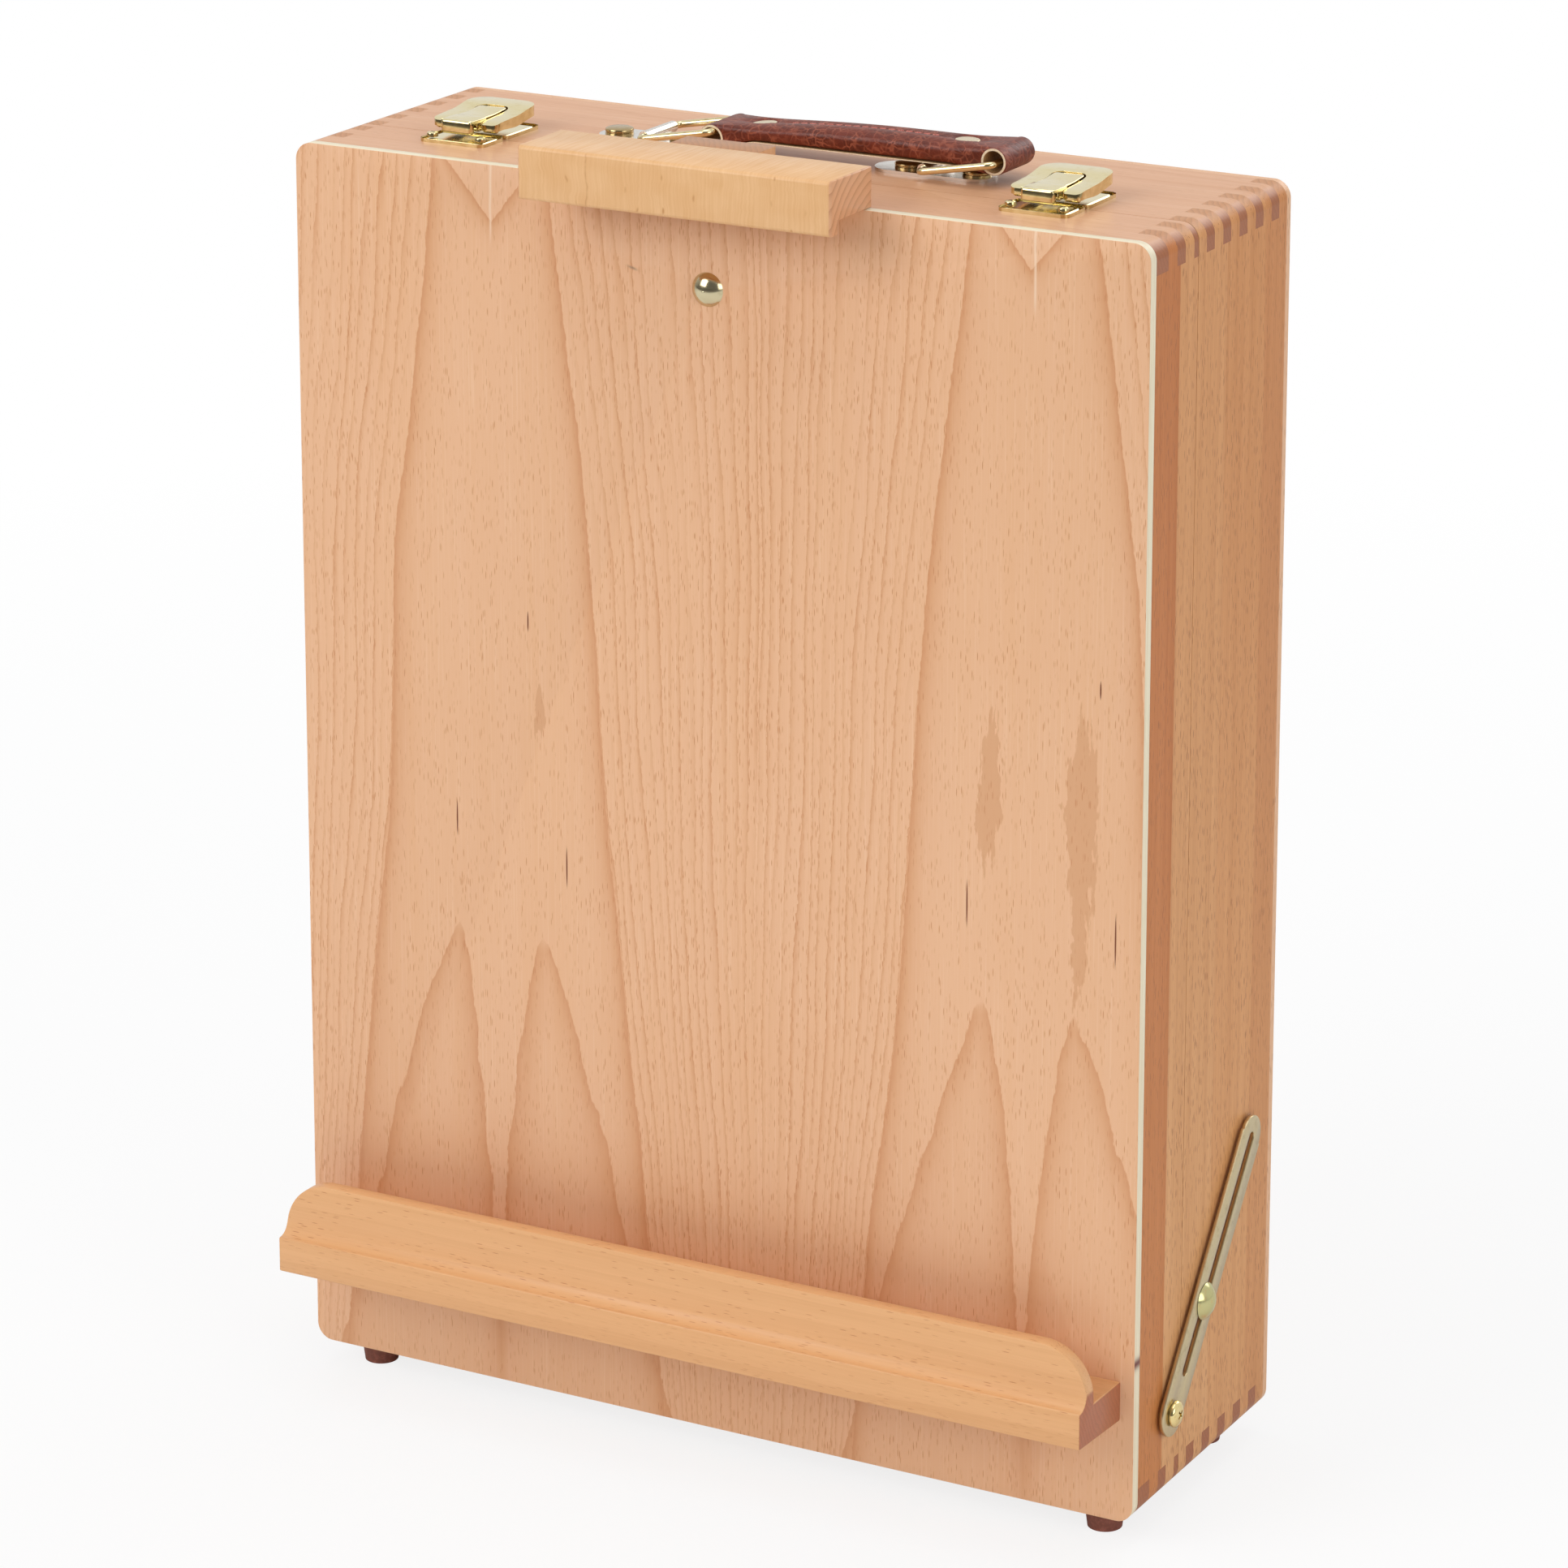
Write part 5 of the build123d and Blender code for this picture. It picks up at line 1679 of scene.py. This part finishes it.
@dataclass
class Handle:
    """The rolled leather strap with its loops, liner, seam and stitches, in millimetres.

    The strap hangs on its rings with a little play, so its left end lies lower. off is the
    distance from the strap's middle along X.
    """

    play: tuple[float, float] = (-2.42, 0.58)
    shift: float = -0.6
    ring_seat: float = 4.4
    loop_radius: float = 4.7
    loop_bore: float = 4.0
    loop_inner: float = 3.75
    lining_radius: float = 4.6
    rivet_offset: float = 38.2
    rivet_radius: float = 4.2
    rivet_sink: float = 1.0
    crown: float = 2.1
    belly: float = -2.3
    far_fall: float = 1.6
    valley: float = 1.1
    valley_width: float = 3.0
    seam_depth: float = 0.35
    seam_width: float = 0.9
    liner_reach: float = 43.0
    liner_inset: float = 0.45
    liner_half: float = 0.16
    stitch_count: int = 17
    stitch_pitch: float = 3.3
    stitch_length: float = 2.2
    stitch_radius: float = 0.36

    def __post_init__(self) -> None:
        """Reads where the strap lies from the model."""
        low, high = node_box("handle_strap")
        self.middle = (low.x + high.x) / 2 + self.shift
        self.half = (high.x - low.x) / 2 - self.ring_seat
        self.y = (low.y + high.y) / 2
        self.width = (high.y - low.y) / 2
        self.level = low.z + self.ring_seat

    def axis(self, off: float) -> float:
        """Height of the line between the middles of the two loops, level beyond them."""
        share = (min(1.0, max(-1.0, off / self.half)) + 1) / 2
        return self.level + self.play[0] + (self.play[1] - self.play[0]) * share

    def roll(self, off: float) -> float:
        """Half the height of a loop's roll: full up to its middle, then round."""
        beyond = max(0.0, abs(off) - self.half)
        return math.sqrt(max(0.0, self.loop_radius ** 2 - beyond ** 2))

    def top(self, off: float) -> float:
        """Height of the upper side, without the valley."""
        share = min(1.0, abs(off) / self.half)
        return self.axis(off) + self.roll(off) + self.crown * max(0.0, math.cos(share * math.pi / 2)) ** 1.2

    def slope(self, off: float) -> float:
        """Rise of the upper side per millimetre to the right."""
        return self.top(off + 0.5) - self.top(off - 0.5)

    def bottom(self, off: float) -> float:
        """Height of the underside."""
        low = self.axis(off) - self.roll(off)
        return low + (self.level + self.belly - low) * (1 - eased(abs(off), 36.0, self.half))

    def valley_at(self, off: float, wide: float) -> float:
        """Depth of the valley between the two rolled edges, with the seam in it."""
        fade = 1 - eased(abs(off), 42.0, 50.0)
        seam = self.seam_depth * math.exp(-((wide / self.seam_width) ** 2)) * (1 - eased(abs(off), 30.0, 32.0))
        return (self.valley * math.exp(-((wide / self.valley_width) ** 2)) + seam) * fade

    def rivet_height(self, end: int) -> float:
        """Height of a rivet's rim."""
        return self.top(end * self.rivet_offset) - self.rivet_sink

    def body_point(self, along: float, around: float) -> Vector:
        """A point of the rolled body, squarer towards its ends.

        Args:
            along: share from 0 to 1 along the strap.
            around: share from 0 to 1 round it.

        Returns:
            The point.
        """
        reach = self.half + self.loop_radius
        off = reach * math.sin((along - 0.5) * math.pi)
        side, tall = square_point(around)
        power = (2.7 if tall > 0 else 4.5) + 34 * abs(off / reach) ** 10
        size = (abs(side) ** power + abs(tall) ** power) ** (-1 / power)
        wide, tall = side * size * self.width, tall * size
        high, low = self.top(off), self.bottom(off)
        z = (high + low) / 2 + tall * (high - low) / 2
        if tall > 0:
            fall = self.far_fall * math.cos(min(1.0, abs(off) / self.half) * math.pi / 2)
            z -= self.valley_at(off, wide) + fall * tall * max(0.0, wide / self.width)
            for end in (-1, 1):
                floor = self.rivet_height(end) - 0.3
                away = math.hypot(off - end * self.rivet_offset, wide)
                z -= max(0.0, z - floor) * (1 - eased(away, self.rivet_radius, self.rivet_radius + 1.5))
        return Vector((self.middle + off, self.y + wide, z))

    def liner_point(self, along: float, around: float) -> Vector:
        """A point of the thin liner under the body, which tapers out at its ends.

        Args:
            along: share from 0 to 1 along the strap.
            around: share from 0 to 1 round it.

        Returns:
            The point.
        """
        off = (2 * along - 1) * self.liner_reach
        side, tall = square_point(around, 0.4)
        thin = self.liner_half * min(1.0, (1 - abs(2 * along - 1)) / 0.03)
        wide = side * (self.width - self.liner_inset)
        return Vector((self.middle + off, self.y + wide, self.bottom(off) + tall * thin))

    def build(self) -> None:
        """Builds the strap, its loops, its liner, its rivets and its stitches."""
        form = Form()
        form.grid(140, 100, self.body_point)
        body = form.piece("strap_body", 60.0)
        for end in (-1, 1):
            x, z = self.middle + end * self.half, self.axis(end * self.half)
            bore = Form()
            bore.bar((x, self.y - self.width - 2, z), (x, self.y + self.width + 2, z), self.loop_bore, 0.0, 56)
            carve(body, bore.piece("loop_bore"))
        settle(body, "handle", Finish.LEATHER, "handle_leather", "handle_strap")
        for end, word in ((-1, "left"), (1, "right")):
            self.loop(end, word)
            self.rivet(end, word)
        self.liner()
        self.stitches()

    def loop(self, end: int, word: str) -> None:
        """The lining of one loop: leather, pale cut edges and a rough inside.

        Args:
            end: -1 for the left end, 1 for the right.
            word: the end's name.
        """
        centre = Vector((self.middle + end * self.half, self.y, self.axis(end * self.half)))
        w, r, inner = self.width + 0.1, self.lining_radius, self.loop_inner
        form = Form()
        form.turned([(inner, -w), (r - 0.1, -w), (r, -w + 0.1), (r, w - 0.1), (r - 0.1, w), (inner, w), (inner, -w)],
                    centre, (0, 1, 0), 56)
        piece = form.piece(f"strap_loop_{word}", 40.0)
        for finish in (Finish.LEATHER, Finish.CUT_EDGE, Finish.SUEDE):
            piece.data.materials.append(finish.made)
        for face in piece.data.polygons:
            off = face.center - centre * MM
            if abs(face.normal.y) > 0.9:
                face.material_index = 1
            elif math.hypot(off.x, off.z) < (inner + 0.2) * MM:
                face.material_index = 2
        settle(piece, "handle", Finish.LEATHER, "handle_leather")

    def rivet(self, end: int, word: str) -> None:
        """A wide flat rivet, pressed into the valley.

        Args:
            end: -1 for the left end, 1 for the right.
            word: the end's name.
        """
        off = end * self.rivet_offset
        r = self.rivet_radius
        form = Form()
        form.turned([(0, -1.6), (r * 0.9, -1.6), (r, -0.3), (r * 0.985, 0.0), (r * 0.94, 0.12), (r * 0.7, 0.2),
                     (0, 0.26)], (self.middle + off, self.y, self.rivet_height(end)), (-self.slope(off), 0, 1), 48)
        settle(form.piece(f"strap_rivet_{word}"), "handle", Finish.RIVET, "pale_brass", f"handle_rivet_{word}")

    def liner(self) -> None:
        """The liner: a thin strip with pale cut edges."""
        form = Form()
        form.grid(64, 20, self.liner_point)
        piece = form.piece("strap_liner", 40.0)
        for finish in (Finish.SUEDE, Finish.CUT_EDGE):
            piece.data.materials.append(finish.made)
        for face in piece.data.polygons:
            face.material_index = int(abs(face.normal.y) > 0.7)
        settle(piece, "handle", Finish.SUEDE, "handle_leather")

    def stitches(self) -> None:
        """A row of stitches in the seam along the valley."""
        form = Form()
        for number in range(self.stitch_count):
            off = (number - (self.stitch_count - 1) / 2) * self.stitch_pitch
            middle = Vector((self.middle + off, self.y, self.top(off) - self.valley + 0.02))
            reach = Vector((self.stitch_length / 2, 0.25, self.slope(off) * self.stitch_length / 2))
            form.bar(middle - reach, middle + reach, self.stitch_radius, 0.3, 10)
        settle(form.piece("strap_stitches", 60.0), "handle", Finish.THREAD, "handle_leather")


@dataclass
class BracketScrews:
    """The four broad screws of the handle's brackets: a grooved wall under a low dome.

    The profile gives radius and height from the top, in millimetres.
    """

    profile: tuple[tuple[float, float], ...] = (
        (0, -11.5), (1.9, -11.5), (1.9, -2.6), (4.7, -2.6), (4.9, -2.4), (4.9, -1.8), (4.6, -1.65), (4.6, -1.5),
        (4.9, -1.35), (4.9, -0.8), (4.7, -0.5), (3.9, -0.2), (2.2, -0.04), (0, 0),
    )

    def build(self) -> None:
        """Turns each screw where its node stands."""
        for side in Side:
            for place in ("inner", "outer"):
                node = f"handle_screw_{side.word}_{place}"
                low, high = node_box(node)
                form = Form()
                form.turned(self.profile, ((low.x + high.x) / 2, (low.y + high.y) / 2, high.z), (0, 0, 1), 48)
                settle(form.piece(f"bracket_screw_{side.word}_{place}"), "box", Finish.SCREW, "bronze_screws", node)


@dataclass
class Studio:
    """A pale floor, soft lamps and the camera of the photograph."""

    focal: float = 7225.92
    image: float = 1932.0
    centre: tuple[float, float] = (1101.90, 315.50)
    sensor: float = 36.0
    eye: tuple[float, float, float] = (0.92093, -1.66199, 0.86290)
    right: tuple[float, float, float] = (0.88496, 0.46565, 0.00476)
    up: tuple[float, float, float] = (-0.11097, 0.20094, 0.97330)
    floor_reach: float = 40.0
    lamp_aim: tuple[float, float, float] = (0.0, 0.0, 0.22)
    lamps: tuple[tuple[str, tuple[float, float, float], float, float], ...] = (
        ("key", (-1.3, -2.1, 1.7), 1.6, 34.0),
        ("fill", (2.4, -0.9, 1.1), 1.4, 15.0),
        ("rear", (0.6, 2.2, 1.6), 1.4, 14.0),
        ("top", (0.0, -0.2, 2.4), 1.6, 13.0),
    )

    def build(self) -> None:
        """Makes the floor, the world, the lamps and the camera."""
        self.camera()
        self.floor()
        self.world()
        for lamp in self.lamps:
            self.lamp(*lamp)
        bpy.context.scene.view_settings.view_transform = "Standard"

    def camera(self) -> None:
        """Sets the camera where the photographed edges put it."""
        data = bpy.data.cameras.new("photo_camera")
        data.sensor_width = self.sensor
        data.lens = self.sensor * self.focal / self.image
        data.shift_x = (self.image / 2 - self.centre[0]) / self.image
        data.shift_y = (self.centre[1] - self.image / 2) / self.image
        data.clip_start = 0.05
        data.clip_end = 200.0
        camera = add_object("photo_camera", data)
        right = Vector(self.right).normalized()
        up = Vector(self.up)
        back = right.cross(up).normalized()
        up = back.cross(right)
        turn = Matrix((right, up, back)).transposed().to_4x4()
        camera.matrix_world = Matrix.Translation(Vector(self.eye)) @ turn
        bpy.context.scene.camera = camera

    def floor(self) -> None:
        """A wide pale floor that stays white to the camera but keeps shadows."""
        mesh = bmesh.new()
        bmesh.ops.create_grid(mesh, x_segments=1, y_segments=1, size=self.floor_reach)
        data = bpy.data.meshes.new("floor")
        mesh.to_mesh(data)
        mesh.free()
        floor = add_object("floor", data)
        material = bpy.data.materials.new("pale_floor")
        graph = empty_graph(material)
        spot = graph.add("ShaderNodeTexCoord")
        x, y, _ = graph.parts(Signal(graph, spot.outputs["Object"]))
        matt = graph.add("ShaderNodeBsdfDiffuse")
        graph.fill(matt, Color=graph.mix(y.step(-1.0, -1.8), (0.86, 0.86, 0.86), (0.2, 0.19, 0.18)))
        glow = graph.add("ShaderNodeEmission")
        graph.fill(glow, Color=(1.0, 1.0, 1.0))
        rays = graph.add("ShaderNodeLightPath")
        away = graph.math("SQRT", x * x + y * y)
        share = Signal(graph, rays.outputs["Is Camera Ray"]) * graph.spread(away, 0.3, 1.3, 0.82, 1.0)
        graph.end(graph.blend(share, matt, glow))
        data.materials.append(material)

    def world(self) -> None:
        """White behind the object, and a plain soft grey light from all round."""
        world = bpy.data.worlds.new("studio")
        bpy.context.scene.world = world
        graph = empty_graph(world)
        rays = graph.add("ShaderNodeLightPath")
        plain, white, room = (graph.add("ShaderNodeBackground") for _ in range(3))
        graph.fill(plain, Color=(0.95, 0.97, 1.0), Strength=0.5)
        graph.fill(white, Color=(1.0, 1.0, 1.0), Strength=1.0)
        way = graph.add("ShaderNodeTexCoord")
        _, rear, up = graph.parts(Signal(graph, way.outputs["Generated"]))
        graph.fill(room, Strength=graph.spread(rear * 0.8 + up * 0.5, -0.35, 0.35, 0.2, 1.0))
        shine = graph.blend(Signal(graph, rays.outputs["Is Glossy Ray"]), plain, room)
        graph.end(graph.blend(Signal(graph, rays.outputs["Is Camera Ray"]), shine, white), "World")

    def lamp(self, name: str, place: tuple[float, float, float], size: float, power: float) -> None:
        """Adds a square soft lamp that points at the middle of the object.

        Args:
            name: the lamp's name.
            place: where it hangs, in metres.
            size: its side, in metres.
            power: its power, in watts.
        """
        data = bpy.data.lights.new(name, "AREA")
        data.size = size
        data.energy = power
        lamp = add_object(name, data)
        lamp.location = place
        aim = Vector(self.lamp_aim) - Vector(place)
        lamp.rotation_euler = aim.to_track_quat("-Z", "Y").to_euler()


@dataclass
class Carcase:
    """The wooden case, the lid and the pieces on them that keep their modelled shape."""

    nodes: dict[str, bpy.types.Object]
    finishes: tuple[tuple[Finish, tuple[str, ...]], ...] = (
        (Finish.BACK, ("box_back",)),
        (Finish.SIDE_BOARD, ("lid_left_wall", "lid_right_wall", "box_left_wall", "box_right_wall")),
        (Finish.TOP_BOARD, ("lid_top_wall", "lid_bottom_wall", "box_top_wall", "box_bottom_wall")),
        (Finish.LEDGE, ("mast_keeper",)),
        (Finish.DIVIDER, ("divider_cross",)),
        (Finish.INNER, ("mast_guide", "divider")),
        (Finish.FOOT, ("foot",)),
        (Finish.BOLT, ("mast_bolt",)),
        (Finish.STAY_BOLT, ("stay_bolt",)),
        (Finish.STAY, ("mast_nut", "stay", "hinge")),
        (Finish.BRACKET, ("handle_bracket",)),
        (Finish.WIRE, ("handle_ring",)),
    )

    def build(self) -> None:
        """Gives each node the first finish that lists the start of its name."""
        for name, piece in self.nodes.items():
            for finish, starts in self.finishes:
                if name.startswith(starts):
                    dress(piece, finish)
                    break
            log.info("dressed %s", name)


def main() -> None:
    """Builds the scene in order."""
    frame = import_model()
    logging.basicConfig(level=logging.INFO, format="%(name)s: %(message)s")
    Studio().build()
    nodes = frame["nodes"]
    Carcase(nodes).build()
    for row in EASED_NODES:
        EasedNode(nodes[row[0]], *row).build()
    for side in Side:
        Latch(side).build()
        StayPivot(side).build()
    Handle().build()
    BracketScrews().build()
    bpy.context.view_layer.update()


if __name__ == "__main__":
    main()
